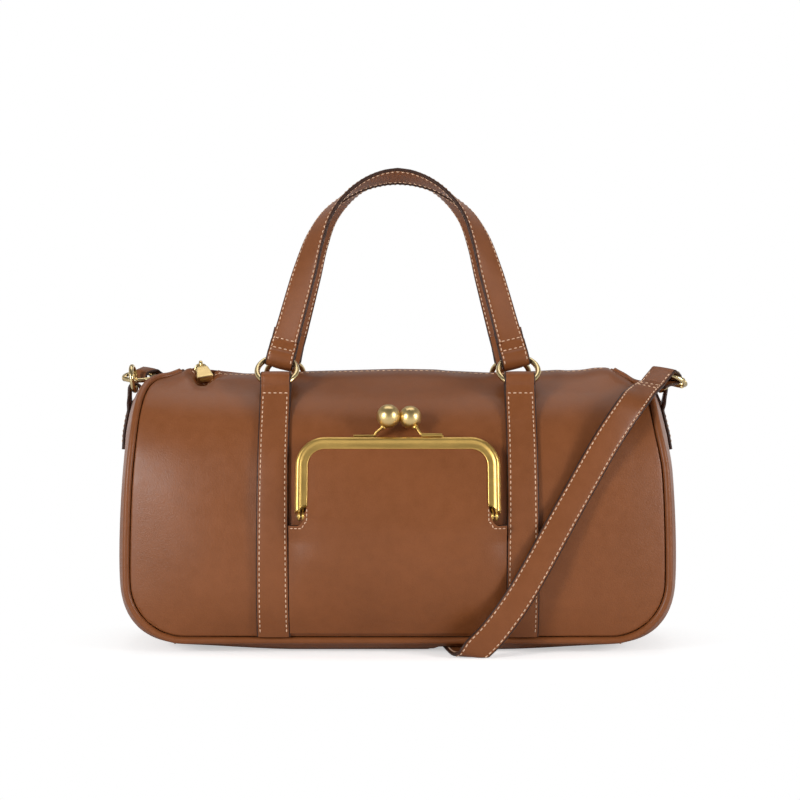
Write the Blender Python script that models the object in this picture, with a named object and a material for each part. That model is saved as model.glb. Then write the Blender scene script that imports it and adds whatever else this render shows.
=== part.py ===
"""Frame satchel: a small leather barrel bag with two handles, a zipped top, a kiss-lock frame pocket and a
clip-on shoulder strap. Metres, +Z up, +X to the wearer's right of the front face, the front faces -Y.
The origin is the centre of the flat base on the surface that the bag stands on."""

import math

import bmesh
import bpy
import numpy as np

# Leather, thread gaps and grid counts
LEATHER = 0.0020
CLEARANCE = 0.0003
LINING = 0.0008
LINING_GAP = 0.0009
PANEL_COLUMNS = 20
PANEL_TURN = math.radians(14)
PANEL_STRIDE = 0.045
LINING_COLUMNS = 16
LINING_ROWS = 10
LINING_TOP_SHARE = 0.88
FINE_STEPS = 24

# Body: the front seam, the crown of the panels and the side gussets
SEAM_HALF_WIDTH = 0.150
SEAM_HALF_DEPTH = 0.055
BODY_HEIGHT = 0.157
SEAM_LIFT = 0.0094
CORNER_RADIUS = 0.042
CROWN_DEPTH = 0.068
GUSSET_BULGE = 0.013
GUSSET_TOP_BULGE = 0.007
GUSSET_STEP = 0.0012
GUSSET_TAPER_SHARE = 0.9
ZIP_END_GAP = 0.022
ZIP_HALF_LENGTH = SEAM_HALF_WIDTH - ZIP_END_GAP
ZIP_HALF_GAP = 0.0050
PIPING_RADIUS = 0.0020
CROWN_POWER = 3.0
BASE_BULGE_POWER = 4.0
SIDE_BULGE_POWER = 2.0
BOTTOM_BLEND_SHARE = 0.35
CORNER_SPLIT = math.radians(45)
SEAM_INSET = PIPING_RADIUS + 2.5 * CLEARANCE

# Side seam above the corner: shares of half width, half depth and height
SIDE_SEAM_SHARES = (
    (1.000, 1.00, 0.40),
    (0.990, 0.99, 0.61),
    (0.973, 0.93, 0.74),
    (0.957, 0.77, 0.86),
    (0.943, 0.60, 0.925),
    (0.923, 0.42, 0.968),
    (0.893, 0.26, 0.990),
)
# Middle of the front panel: shares of crown depth and height
MIDDLE_SHARES = (
    (0.93, 0.16),
    (0.99, 0.31),
    (1.00, 0.45),
    (0.97, 0.60),
    (0.89, 0.73),
    (0.77, 0.83),
    (0.58, 0.915),
    (0.34, 0.970),
)

# Base: its panel, its stiffening board and the groove that the shoulder strap lies in
BASE_END_GAP = 0.032
BASE_HALF_LENGTH = SEAM_HALF_WIDTH - BASE_END_GAP
BOARD_END_GAP = 0.006
BOARD_HALF_LENGTH = BASE_HALF_LENGTH - BOARD_END_GAP
BOARD_SIDE_GAP = 0.015
BOARD_HALF_DEPTH = SEAM_HALF_DEPTH - BOARD_SIDE_GAP
BOARD_THICKNESS = 0.0020
GROOVE_DEPTH = 0.0029
GROOVE_RAMP = 0.008
GROOVE_REACH = 0.090
GROOVE_SHIFT = 0.030
GROOVE_SLOPE_SHARE = 0.10

# Zip
TAPE_WIDTH = 0.0072
TAPE_THICKNESS = 0.0007
TAPE_INNER = 0.0016
TAPE_DROP = 0.0015
TEETH_PITCH = 0.0040
TEETH_HEIGHT = 0.0018
TEETH_ROOT = 0.0029
STOP_LENGTH = 0.0030
SLIDER_END_GAP = 0.0112
SLIDER_X = SLIDER_END_GAP - ZIP_HALF_LENGTH
SLIDER_LENGTH = 0.0100
SLIDER_WIDTH = 0.0086
SLIDER_WALL = 0.0012
BRIDGE_WIRE = 0.0008
BRIDGE_HEIGHT = 0.0062
TAB_LENGTH = 0.0150
TAB_THICKNESS = 0.0044
TAB_TOP_THICKNESS = 0.0030
TAB_TOP_WIDTH = 0.0072
TAB_END_WIDTH = 0.0100
TAB_DROOP = math.radians(19)
TAB_HOLE = 0.0013
TAB_HEAD_RADIUS = 0.0025
TAB_HEAD_WIDTH = 0.0024

# Kiss-lock frame and its pocket
FRAME_HALF_WIDTH = 0.0530
FRAME_HEIGHT_SHARE = 0.2643
FRAME_HEIGHT = FRAME_HEIGHT_SHARE * BODY_HEIGHT
HINGE_HEIGHT_SHARE = 0.4885
FRAME_HINGE_Z = HINGE_HEIGHT_SHARE * BODY_HEIGHT
FRAME_CORNER = 0.0110
FRAME_BAR = 0.0068
FRONT_BAR_DEPTH = 0.0038
BACK_BAR_DEPTH = 0.0032
FRAME_STANDOFF = 0.0017
FRAME_LEG_FOOT = 0.0048
EYE_RADIUS = 0.0030
EYE_WIDTH = 0.0020
EYE_BLOCK_SHARE = 0.999
PIN_RADIUS = 0.0012
PIN_HEAD_RADIUS = 0.0020
PIN_HEAD = 0.0008
BALL_RADIUS = 0.0058
BALL_X = 0.00595
BALL_STAND = 0.0173
BALL_RISE = FRAME_HEIGHT + BALL_STAND
BALL_STAGGER = 0.0030
STEM_RADIUS = 0.0015
PLATE_INNER = 0.0125
PLATE_OUTER = 0.0250
PLATE_THICKNESS = 0.0014
LEAF_LEATHER = 0.0015
LEAF_DROP = 0.0042
POCKET_SEAT = 0.0004
POCKET_TOP_GAP = 0.0052
POCKET_TOP_Z = FRAME_HINGE_Z - POCKET_TOP_GAP
POCKET_RISE = 0.0058
POCKET_EDGE_POWER = 6
POCKET_ROWS = 9
POCKET_COLUMNS = 13

# Handle straps, their rings and the body straps
STRAP_WIDTH = 0.0170
STRAP_THICKNESS = 0.0022
STRAP_OFFSET = 0.0162
STRAP_X = FRAME_HALF_WIDTH + STRAP_OFFSET
NECK_WIDTH = 0.0090
NECK_LENGTH = 0.0085
LEAF_GAP = 0.0006
LOOP_LEATHER = 0.0015
LEAF_OFFSET = (LOOP_LEATHER + LEAF_GAP) / 2
LEAF_BEHIND = STRAP_THICKNESS / 2 + LEAF_GAP + LOOP_LEATHER / 2
RING_RADIUS = 0.0113
RING_WIRE = 0.0016
RING_Y_SHARE = 0.493
RING_Y = -RING_Y_SHARE * CROWN_DEPTH
RING_RISE = 0.0015
RING_Z = BODY_HEIGHT + RING_RISE
RING_LEAN = math.radians(45)
LOOP_SLACK = 0.0015
STRAP_LEAF = 0.0120
STRAP_DIP = math.radians(30)
STRAP_SEAT = 0.0004
STRAP_LIFT_SHARE = 0.71
HANDLE_RISE = 0.1195
HANDLE_TOP = BODY_HEIGHT + HANDLE_RISE
HANDLE_GAP_HALF = 0.0102
HANDLE_TWIST = math.radians(112)
HANDLE_TWIST_START_SHARE = 0.28
HANDLE_LEAF = 0.0170
POCKET_HALF_WIDTH = STRAP_X - STRAP_WIDTH / 2 - CLEARANCE
# Handle from the ring to the top: shares of the strap spacing and of the rise above the ring
HANDLE_SHARES = (
    (0.896, 0.218),
    (0.838, 0.345),
    (0.770, 0.473),
    (0.694, 0.599),
    (0.556, 0.772),
    (0.419, 0.862),
    (0.269, 0.941),
    (0.116, 0.988),
    (0.000, 1.000),
)

# Side tabs, side rings and the spring-gate clips of the shoulder strap
SIDE_TAB_WIDTH = 0.0120
SIDE_TAB_NECK = 0.0044
SIDE_TAB_TOP_SHARE = 0.860
SIDE_TAB_TOP_Z = SIDE_TAB_TOP_SHARE * BODY_HEIGHT
SIDE_TAB_FOOT_SHARE = 0.720
SIDE_TAB_FOOT_Z = SIDE_TAB_FOOT_SHARE * BODY_HEIGHT
SIDE_LOOP_STAND = 0.006
SIDE_LOOP_X = SEAM_HALF_WIDTH + SIDE_LOOP_STAND
SIDE_LOOP_SHARE = 0.9395
SIDE_LOOP_Z = SIDE_LOOP_SHARE * BODY_HEIGHT
SIDE_RING_RADIUS = 0.0072
SIDE_RING_WIRE = 0.00145
CLIP_RADIUS = 0.0091
CLIP_WIRE = 0.0014
CLIP_SEAT = 0.0036
GATE_START = math.radians(60)
GATE_SPAN = math.radians(62)
HINGE_GAP = math.radians(6)
LATCH_GAP = math.radians(13)

# Shoulder strap
SHOULDER_WIDTH = 0.0165
SHOULDER_THICKNESS = 0.0022
SHOULDER_STATIONS = 100
SHOULDER_LEAF = 0.0130
RIGHT_RING_LEAN = math.radians(45)
LEFT_RING_LEAN = math.radians(7)
RIGHT_CLIP_TWIST_SHARE = 0.45
LEFT_CLIP_TWIST_SHARE = 0.0
RIGHT_CLIP_LEAD = (-0.20, -0.93, 0.25)
LEFT_CLIP_LEAD = (0.25, 0.93, 0.27)
RIGHT_STRAP_AWAY = (-0.50, -0.50, -0.70)
LEFT_STRAP_AWAY = (-0.05, 0.95, -0.25)
# The strap's route from the right clip to the left one: shares of the seam's half width and half depth and
# of the body's height, then the direction of the strap's width
SHOULDER_ROUTE_SHARES = (
    (1.000, -0.73, 0.940, 0.84, -0.10, -0.50),
    (0.935, -0.99, 0.879, 0.84, 0.0, -0.545),
    (0.840, -1.13, 0.758, 0.84, 0.0, -0.545),
    (0.713, -1.205, 0.570, 0.84, 0.0, -0.545),
    (0.620, -1.245, 0.439, 0.84, 0.0, -0.545),
    (0.533, -1.305, 0.318, 0.84, 0.0, -0.545),
    (0.440, -1.335, 0.191, 0.84, 0.0, -0.545),
    (0.360, -1.350, 0.089, 0.84, 0.0, -0.545),
    (0.300, -1.370, 0.030, 0.84, 0.15, -0.50),
    (0.274, -1.340, 0.0110, 0.84, 0.40, -0.30),
    (0.250, -1.200, 0.0083, 0.90, 0.300, 0.0),
    (0.224, -0.660, 0.0083, 0.99, 0.10, 0.0),
    (0.200, 0.000, 0.0083, 0.99, 0.10, 0.0),
    (0.176, 0.660, 0.0083, 0.99, 0.10, 0.0),
    (0.153, 1.200, 0.0083, 0.99, 0.05, 0.0),
    (0.163, 1.355, 0.0110, 0.93, -0.25, 0.20),
    (0.213, 1.500, 0.0330, 0.60, -0.30, 0.75),
    (0.310, 1.590, 0.0550, 0.15, -0.10, 0.98),
    (0.440, 1.610, 0.0565, 0.0, 0.0, 1.0),
    (0.667, 1.615, 0.0565, 0.0, 0.0, 1.0),
    (0.853, 1.630, 0.0565, 0.0, 0.0, 1.0),
    (0.920, 1.690, 0.0565, 0.0, 0.0, 1.0),
    (0.942, 1.800, 0.0565, 0.0, 0.0, 1.0),
    (0.915, 1.910, 0.0565, 0.0, 0.0, 1.0),
    (0.840, 1.975, 0.0565, 0.0, 0.0, 1.0),
    (0.667, 1.990, 0.0565, 0.0, 0.0, 1.0),
    (0.267, 1.985, 0.0565, 0.0, 0.0, 1.0),
    (-0.133, 1.970, 0.0565, 0.0, 0.0, 1.0),
    (-0.400, 1.920, 0.0600, 0.0, 0.15, 0.98),
    (-0.567, 1.800, 0.0850, -0.10, 0.60, 0.78),
    (-0.673, 1.640, 0.1700, -0.10, 0.93, 0.30),
    (-0.753, 1.440, 0.3300, 0.30, 0.95, 0.10),
    (-0.840, 1.370, 0.5600, 0.70, 0.70, 0.20),
    (-0.913, 1.260, 0.7500, 0.95, 0.20, 0.10),
    (-0.955, 1.090, 0.8720, 0.95, -0.10, 0.10),
    (-0.980, 0.860, 0.9560, 0.92, -0.30, 0.0),
)

# Ring and tube counts
RING_STEPS = 20
TUBE_SIDES = 8
PIPING_SIDES = 6
PIPING_TURN = math.radians(9)
PIPING_STRIDE = 0.040
HANDLE_STATIONS = 30
STRAP_STATIONS = 18

X_AXIS = np.array((1.0, 0.0, 0.0))
Y_AXIS = np.array((0.0, 1.0, 0.0))
Z_AXIS = np.array((0.0, 0.0, 1.0))
BACK = np.array((1.0, -1.0, 1.0))
FRONT = np.array((1.0, 1.0, 1.0))
LEFT = np.array((-1.0, 1.0, 1.0))


# Scene and materials


def clear_scene():
    for obj in list(bpy.data.objects):
        bpy.data.objects.remove(obj, do_unlink=True)


def material(name, colour, roughness, metallic):
    made = bpy.data.materials.new(name)
    made.use_nodes = True
    shader = made.node_tree.nodes["Principled BSDF"]
    shader.inputs["Base Color"].default_value = (*colour, 1.0)
    shader.inputs["Roughness"].default_value = roughness
    shader.inputs["Metallic"].default_value = metallic
    return made


def make_materials():
    return {
        "leather": material("leather", (0.26, 0.092, 0.036), 0.38, 0.0),
        "lining": material("lining", (0.32, 0.24, 0.17), 0.90, 0.0),
        "board": material("board", (0.20, 0.17, 0.14), 0.85, 0.0),
        "tape": material("tape", (0.12, 0.060, 0.032), 0.85, 0.0),
        "brass": material("brass", (0.58, 0.40, 0.12), 0.28, 1.0),
    }


# Curves and vectors


def unit(vector):
    return np.asarray(vector, float) / np.linalg.norm(vector)


def evenly(points, count):
    """Points spaced evenly by length along a polyline."""
    points = np.asarray(points, float)
    lengths = np.concatenate([[0.0], np.cumsum(np.linalg.norm(np.diff(points, axis=0), axis=1))])
    wanted = np.linspace(0.0, lengths[-1], count)
    return np.stack([np.interp(wanted, lengths, points[:, i]) for i in range(points.shape[1])], axis=1)


def fine_curve(points):
    """A centripetal Catmull-Rom curve through the points, as a fine polyline."""
    given = np.asarray(points, float)
    given = np.vstack([2 * given[0] - given[1], given, 2 * given[-1] - given[-2]])
    knots = np.concatenate([[0.0], np.cumsum(np.linalg.norm(np.diff(given, axis=0), axis=1) ** 0.5)])
    fine = []
    for i in range(1, len(given) - 2):
        k0, k1, k2, k3 = knots[i - 1 : i + 3]
        t = np.linspace(k1, k2, FINE_STEPS, endpoint=False)[:, None]
        a = (k1 - t) / (k1 - k0) * given[i - 1] + (t - k0) / (k1 - k0) * given[i]
        b = (k2 - t) / (k2 - k1) * given[i] + (t - k1) / (k2 - k1) * given[i + 1]
        c = (k3 - t) / (k3 - k2) * given[i + 1] + (t - k2) / (k3 - k2) * given[i + 2]
        low = (k2 - t) / (k2 - k0) * a + (t - k0) / (k2 - k0) * b
        high = (k3 - t) / (k3 - k1) * b + (t - k1) / (k3 - k1) * c
        fine.append((k2 - t) / (k2 - k1) * low + (t - k1) / (k2 - k1) * high)
    fine.append(given[-2][None, :])
    return np.vstack(fine)


def smooth(points, count):
    return evenly(fine_curve(points), count)


def paced(points, turn, stride):
    """Lengths along a polyline at steps that are shorter where it turns more."""
    legs = np.diff(points, axis=0)
    sizes = np.linalg.norm(legs, axis=1)
    ways = legs / sizes[:, None]
    bends = np.arccos(np.clip((ways[1:] * ways[:-1]).sum(axis=1), -1.0, 1.0))
    lengths = np.concatenate([[0.0], np.cumsum(sizes)])
    measure = lengths / stride + np.concatenate([[0.0], np.cumsum(bends), [bends.sum()]]) / turn
    return np.interp(np.linspace(0.0, measure[-1], math.ceil(measure[-1]) + 1), measure, lengths)


def along(points, share):
    """The point at a share of the way through evenly spaced points."""
    place = min(max(share, 0.0), 1.0) * (len(points) - 1)
    low = min(int(place), len(points) - 2)
    return points[low] + (points[low + 1] - points[low]) * (place - low)


def ease(value):
    value = min(max(value, 0.0), 1.0)
    return value * value * (3 - 2 * value)


def turned(vector, axis, angle):
    """The vector turned about an axis by the right-hand rule."""
    vector = np.asarray(vector, float)
    axis = unit(axis)
    across = np.cross(axis, vector)
    level = axis * np.dot(axis, vector)
    return level + (vector - level) * math.cos(angle) + across * math.sin(angle)


# Meshes


def add_object(name, points, faces, skin, origin=(0.0, 0.0, 0.0)):
    """One named closed object, its normals outward, with its own origin."""
    mesh = bpy.data.meshes.new(name)
    mesh.from_pydata([tuple(p) for p in np.asarray(points, float) - np.asarray(origin)], [], faces)
    shape = bmesh.new()
    shape.from_mesh(mesh)
    bmesh.ops.recalc_face_normals(shape, faces=shape.faces)
    shape.to_mesh(mesh)
    shape.free()
    mesh.shade_smooth()
    mesh.set_sharp_from_angle(angle=math.radians(40))
    mesh.materials.append(skin)
    obj = bpy.data.objects.new(name, mesh)
    obj.location = origin
    bpy.context.collection.objects.link(obj)
    return obj


def shell(name, outer, inner, skin):
    """The closed solid between two grids of points."""
    rows, columns = outer.shape[:2]
    count = rows * columns
    points = np.concatenate([outer.reshape(-1, 3), inner.reshape(-1, 3)])
    faces = []
    for r in range(rows - 1):
        for c in range(columns - 1):
            a = r * columns + c
            quad = (a, a + 1, a + columns + 1, a + columns)
            faces.append(quad)
            faces.append(tuple(count + i for i in reversed(quad)))
    rim = [c for c in range(columns)]
    rim += [r * columns + columns - 1 for r in range(1, rows)]
    rim += [(rows - 1) * columns + c for c in range(columns - 2, -1, -1)]
    rim += [r * columns for r in range(rows - 2, 0, -1)]
    for a, b in zip(rim, rim[1:] + rim[:1]):
        faces.append((b, a, a + count, b + count))
    return add_object(name, points, faces, skin)


def stations(centres, guides):
    """The tangent, side and out vectors at each centre, the sides as close to the guides as they can be."""
    tangents = np.gradient(centres, axis=0)
    tangents /= np.linalg.norm(tangents, axis=1, keepdims=True)
    sides = np.broadcast_to(guides, centres.shape)
    sides = sides - tangents * (sides * tangents).sum(axis=1, keepdims=True)
    sides = sides / np.linalg.norm(sides, axis=1, keepdims=True)
    return tangents, sides, np.cross(tangents, sides)


def sweep(name, centres, guides, sections, skin, closed=False, origin=(0.0, 0.0, 0.0)):
    """Sections of (side, out) offsets carried along the centres. A closed sweep joins its ends."""
    points, faces = sweep_mesh(centres, guides, sections, closed)
    return add_object(name, points, faces, skin, origin)


def sweep_mesh(centres, guides, sections, closed=False):
    centres = np.asarray(centres, float)
    if closed:
        ring = np.vstack([centres[-1], centres, centres[0]])
        wide = np.broadcast_to(guides, centres.shape)
        wide = np.vstack([wide[-1], wide, wide[0]])
        _, sides, outs = stations(ring, wide)
        sides, outs = sides[1:-1], outs[1:-1]
    else:
        _, sides, outs = stations(centres, guides)
    sections = np.asarray(sections, float)
    if sections.ndim == 2:
        sections = np.broadcast_to(sections, (len(centres),) + sections.shape)
    count = sections.shape[1]
    offsets = sections[:, :, 0:1] * sides[:, None, :] + sections[:, :, 1:2] * outs[:, None, :]
    points = (centres[:, None, :] + offsets).reshape(-1, 3)
    faces = []
    runs = len(centres) if closed else len(centres) - 1
    for i in range(runs):
        j = (i + 1) % len(centres)
        for k in range(count):
            m = (k + 1) % count
            faces.append((i * count + k, i * count + m, j * count + m, j * count + k))
    if not closed:
        faces.append(tuple(range(count - 1, -1, -1)))
        faces.append(tuple((len(centres) - 1) * count + k for k in range(count)))
    return points, faces


def strip_section(width, thickness):
    w, t = width / 2, thickness / 2
    return np.array(((-w, -t), (w, -t), (w, t), (-w, t)))


def round_section(radius, sides=TUBE_SIDES):
    angles = 2 * math.pi * (np.arange(sides) + 0.5) / sides
    return radius * np.stack([np.cos(angles), np.sin(angles)], axis=1)


def circle(centre, first, second, radius, start=0.0, span=2 * math.pi, steps=RING_STEPS, closed=True):
    count = steps if closed else steps + 1
    angles = start + span * np.arange(count) / steps
    return np.array([centre + radius * (math.cos(a) * first + math.sin(a) * second) for a in angles])


def ring(name, centre, first, second, radius, wire, skin, origin):
    centres = circle(centre, first, second, radius)
    return sweep(name, centres, np.cross(first, second), round_section(wire), skin, True, origin)


def box_mesh(low, high):
    corners = [(x, y, z) for x in (low[0], high[0]) for y in (low[1], high[1]) for z in (low[2], high[2])]
    faces = [(0, 1, 3, 2), (4, 6, 7, 5), (0, 4, 5, 1), (2, 3, 7, 6), (0, 2, 6, 4), (1, 5, 7, 3)]
    return np.array(corners), faces


def disc_mesh(centre, axis, radius, length, sides=12):
    axis = unit(axis)
    ends = np.array([centre - axis * length / 2, centre + axis * length / 2])
    guide = Z_AXIS if abs(axis[2]) < 0.9 else X_AXIS
    return sweep_mesh(ends, guide, round_section(radius, sides))


def join(name, shapes, skin, origin, cuts=()):
    """The union of several closed meshes, less some cutters, as one object."""
    base = add_object(name, *shapes[0], skin, origin)
    for number, (operation, shape) in enumerate(
        [("UNION", s) for s in shapes[1:]] + [("DIFFERENCE", c) for c in cuts]
    ):
        helper = add_object(f"{name}_helper_{number}", *shape, skin)
        helper.hide_render = True
        helper.display_type = "WIRE"
        helper.hide_set(True)
        modifier = base.modifiers.new(f"{operation.lower()}_{number}", "BOOLEAN")
        modifier.operation = operation
        modifier.solver = "EXACT"
        modifier.object = helper
    return base


# Body surfaces


def corner_arc(start, stop, steps):
    """Points on the front seam's rounded lower right corner, by angle from straight right."""
    centre_x = SEAM_HALF_WIDTH - CORNER_RADIUS
    centre_z = SEAM_LIFT + CORNER_RADIUS
    angles = np.linspace(start, stop, steps)
    return [
        (centre_x + CORNER_RADIUS * math.cos(a), -SEAM_HALF_DEPTH, centre_z + CORNER_RADIUS * math.sin(a))
        for a in angles
    ]


def side_seam():
    scale = np.array((SEAM_HALF_WIDTH, -SEAM_HALF_DEPTH, BODY_HEIGHT))
    points = corner_arc(-CORNER_SPLIT, 0.0, 6)
    points += [tuple(np.array(shares) * scale) for shares in SIDE_SEAM_SHARES]
    points.append((ZIP_HALF_LENGTH, -1.5 * ZIP_HALF_GAP, BODY_HEIGHT))
    return smooth(points, 160)


def middle_profile():
    points = [(0.0, -SEAM_HALF_DEPTH, SEAM_LIFT)]
    points += [(0.0, -CROWN_DEPTH * depth, BODY_HEIGHT * height) for depth, height in MIDDLE_SHARES]
    points.append((0.0, -ZIP_HALF_GAP, BODY_HEIGHT))
    return smooth(points, 160)


SIDE_SEAM = side_seam()
MIDDLE = middle_profile()


def half_seam():
    """The right half of the front seam as a fine polyline, from the middle of the base to the zip's end."""
    corner = corner_arc(-math.pi / 2, -CORNER_SPLIT, 16)
    return np.vstack([[(0.0, -SEAM_HALF_DEPTH, SEAM_LIFT)], corner[:-1], SIDE_SEAM])


HALF_SEAM = half_seam()
SEAM_POINTS = evenly(HALF_SEAM, 400)
SEAM_LENGTHS = np.concatenate([[0.0], np.cumsum(np.linalg.norm(np.diff(HALF_SEAM, axis=0), axis=1))])
SEAM_LENGTH = SEAM_LENGTHS[-1]
SMALL_STEP = SEAM_LENGTH / 1000


def seam_at(run):
    """The front seam at a signed length from the middle of the base, positive to the right."""
    point = np.array([np.interp(abs(run), SEAM_LENGTHS, HALF_SEAM[:, i]) for i in range(3)])
    return point if run >= 0 else point * LEFT


def bottom_rise(x):
    """How far the seam has risen at x, as a share of the rise to the corner's split."""
    over = abs(x) - (SEAM_HALF_WIDTH - CORNER_RADIUS)
    if over <= 0:
        return 0.0
    rise = CORNER_RADIUS - math.sqrt(CORNER_RADIUS**2 - over**2)
    return min(rise / (SIDE_SEAM[0][2] - SEAM_LIFT), 1.0)


def panel(u, v):
    """The front panel's outer face: u runs across from -1 to 1, v up from the bottom seam to the zip."""
    side = along(SIDE_SEAM, v)
    middle = along(MIDDLE, v)
    crown = 1 - abs(u) ** CROWN_POWER
    level = 1 - bottom_rise(u * SIDE_SEAM[0][0])
    share = ease(v / BOTTOM_BLEND_SHARE)
    lift = level + (crown - level) * share
    y = side[1] + (middle[1] - side[1]) * crown
    z = side[2] + (middle[2] - side[2]) * lift
    return np.array((u * side[0], y, z))


def panel_normal(u, v):
    step = 0.004
    u0, u1 = max(u - step, -1.0), min(u + step, 1.0)
    v0, v1 = max(v - step, 0.0), min(v + step, 1.0)
    return unit(np.cross(panel(u1, v) - panel(u0, v), panel(u, v1) - panel(u, v0)))


def panel_edges(inset):
    """Functions that give the share of u and the least v that keep a distance to the seam."""
    step = 0.01

    def widest(v):
        across = np.linalg.norm(panel(1.0, v) - panel(1.0 - step, v)) / step
        return 1.0 - inset / across

    def lowest(u):
        up = np.linalg.norm(panel(u, step) - panel(u, 0.0)) / step
        return inset / up

    return widest, lowest


def panel_grid(columns, ups, inset, depth):
    """Points on the panel, a depth inside its outer face, clear of the seam by the inset."""
    widest, lowest = panel_edges(inset)
    grid = np.zeros((len(ups), columns, 3))
    for r, up in enumerate(ups):
        for c in range(columns):
            across = -1.0 + 2.0 * c / (columns - 1)
            base = lowest(across)
            v = base + (1.0 - base) * up
            u = across * widest(v)
            grid[r, c] = clear_of_seam(panel(u, v), inset) - panel_normal(u, v) * depth
    return grid


def clear_of_seam(point, inset):
    """The point moved away from the nearest seam, where it is closer to it than the inset."""
    turn = np.array((math.copysign(1.0, point[0]), -math.copysign(1.0, point[1]), 1.0))
    away = point * turn - SEAM_POINTS
    gaps = np.linalg.norm(away, axis=1)
    nearest = int(gaps.argmin())
    if gaps[nearest] >= inset:
        return point
    return (SEAM_POINTS[nearest] + away[nearest] * inset / gaps[nearest]) * turn


def seam_normal(run):
    """The seam's outward direction in X and Z."""
    after = seam_at(min(run + SMALL_STEP, SEAM_LENGTH))
    before = seam_at(max(run - SMALL_STEP, -SEAM_LENGTH))
    tangent = unit((after - before)[[0, 2]])
    return np.array((tangent[1], -tangent[0]))


def gusset(run, t, floor=0.0):
    """The outer face of the strip between the two seams: t is -1 at the front seam and 1 at the back."""
    seam = seam_at(run)
    normal = seam_normal(run)
    down = max(0.0, -normal[1])
    up = max(0.0, normal[1])
    bulge = GUSSET_BULGE + (1.12 * SEAM_LIFT - GUSSET_BULGE) * down**2
    bulge += (GUSSET_TOP_BULGE - GUSSET_BULGE) * up
    bulge *= min(1.0, abs(seam[1]) / (GUSSET_TAPER_SHARE * SEAM_HALF_DEPTH))
    power = SIDE_BULGE_POWER + (BASE_BULGE_POWER - SIDE_BULGE_POWER) * down
    swell = bulge * (1 - abs(t) ** power)
    z = max(seam[2] + normal[1] * swell, floor)
    return np.array((seam[0] + normal[0] * swell, -t * seam[1], z))


def gusset_normal(run, t, floor):
    step = 0.02
    t0, t1 = max(t - step, -1.0), min(t + step, 1.0)
    run0 = max(run - 4 * SMALL_STEP, -SEAM_LENGTH)
    run1 = min(run + 4 * SMALL_STEP, SEAM_LENGTH)
    along_run = gusset(run1, t, floor) - gusset(run0, t, floor)
    return unit(np.cross(gusset(run, t1, floor) - gusset(run, t0, floor), along_run))


def gusset_reach(run, inset, floor):
    step = 0.02
    across = np.linalg.norm(gusset(run, 1.0, floor) - gusset(run, 1.0 - step, floor)) / step
    return 1.0 - inset / across


def gusset_grid(runs, columns, inset, depth, floor):
    grid = np.zeros((len(runs), columns, 3))
    for r, run in enumerate(runs):
        reach = gusset_reach(run, inset, floor)
        for c in range(columns):
            t = reach * (-1.0 + 2.0 * c / (columns - 1))
            point = clear_of_seam(gusset(run, t, floor), inset)
            grid[r, c] = point - gusset_normal(run, t, floor) * depth
    return grid


# Groove under the base for the shoulder strap

GROOVE_HALF = SHOULDER_WIDTH / 2 / math.cos(math.atan(GROOVE_SLOPE_SHARE)) + 4 * CLEARANCE


def groove_run(run, t):
    """The run slid along the seam so that a line of equal run follows the groove."""
    bump = max(0.0, 1 - ((run - GROOVE_SHIFT) / GROOVE_REACH) ** 2) ** 2
    return run - GROOVE_SLOPE_SHARE * t * SEAM_HALF_DEPTH * bump


def groove_lift(run):
    over = GROOVE_HALF + GROOVE_RAMP - abs(run - GROOVE_SHIFT)
    return GROOVE_DEPTH * min(max(over / GROOVE_RAMP, 0.0), 1.0)


def base_grid(columns, depth):
    edges = [GROOVE_SHIFT + s * w for s in (-1, 1) for w in (GROOVE_HALF, GROOVE_HALF + GROOVE_RAMP)]
    left = np.linspace(-BASE_HALF_LENGTH, min(edges), 9)
    right = np.linspace(max(edges), BASE_HALF_LENGTH, 9)
    runs = sorted(set(np.round(np.concatenate([left, edges, right]), 7)))
    grid = np.zeros((len(runs), columns, 3))
    for r, run in enumerate(runs):
        normal = seam_normal(run)
        inward = np.array((-normal[0], 0.0, -normal[1]))
        reach = gusset_reach(run, SEAM_INSET, 0.0)
        for c in range(columns):
            t = reach * (-1.0 + 2.0 * c / (columns - 1))
            point = gusset(groove_run(run, t), t, groove_lift(run))
            grid[r, c] = point + inward * depth
    return grid


# Body pieces


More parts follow.
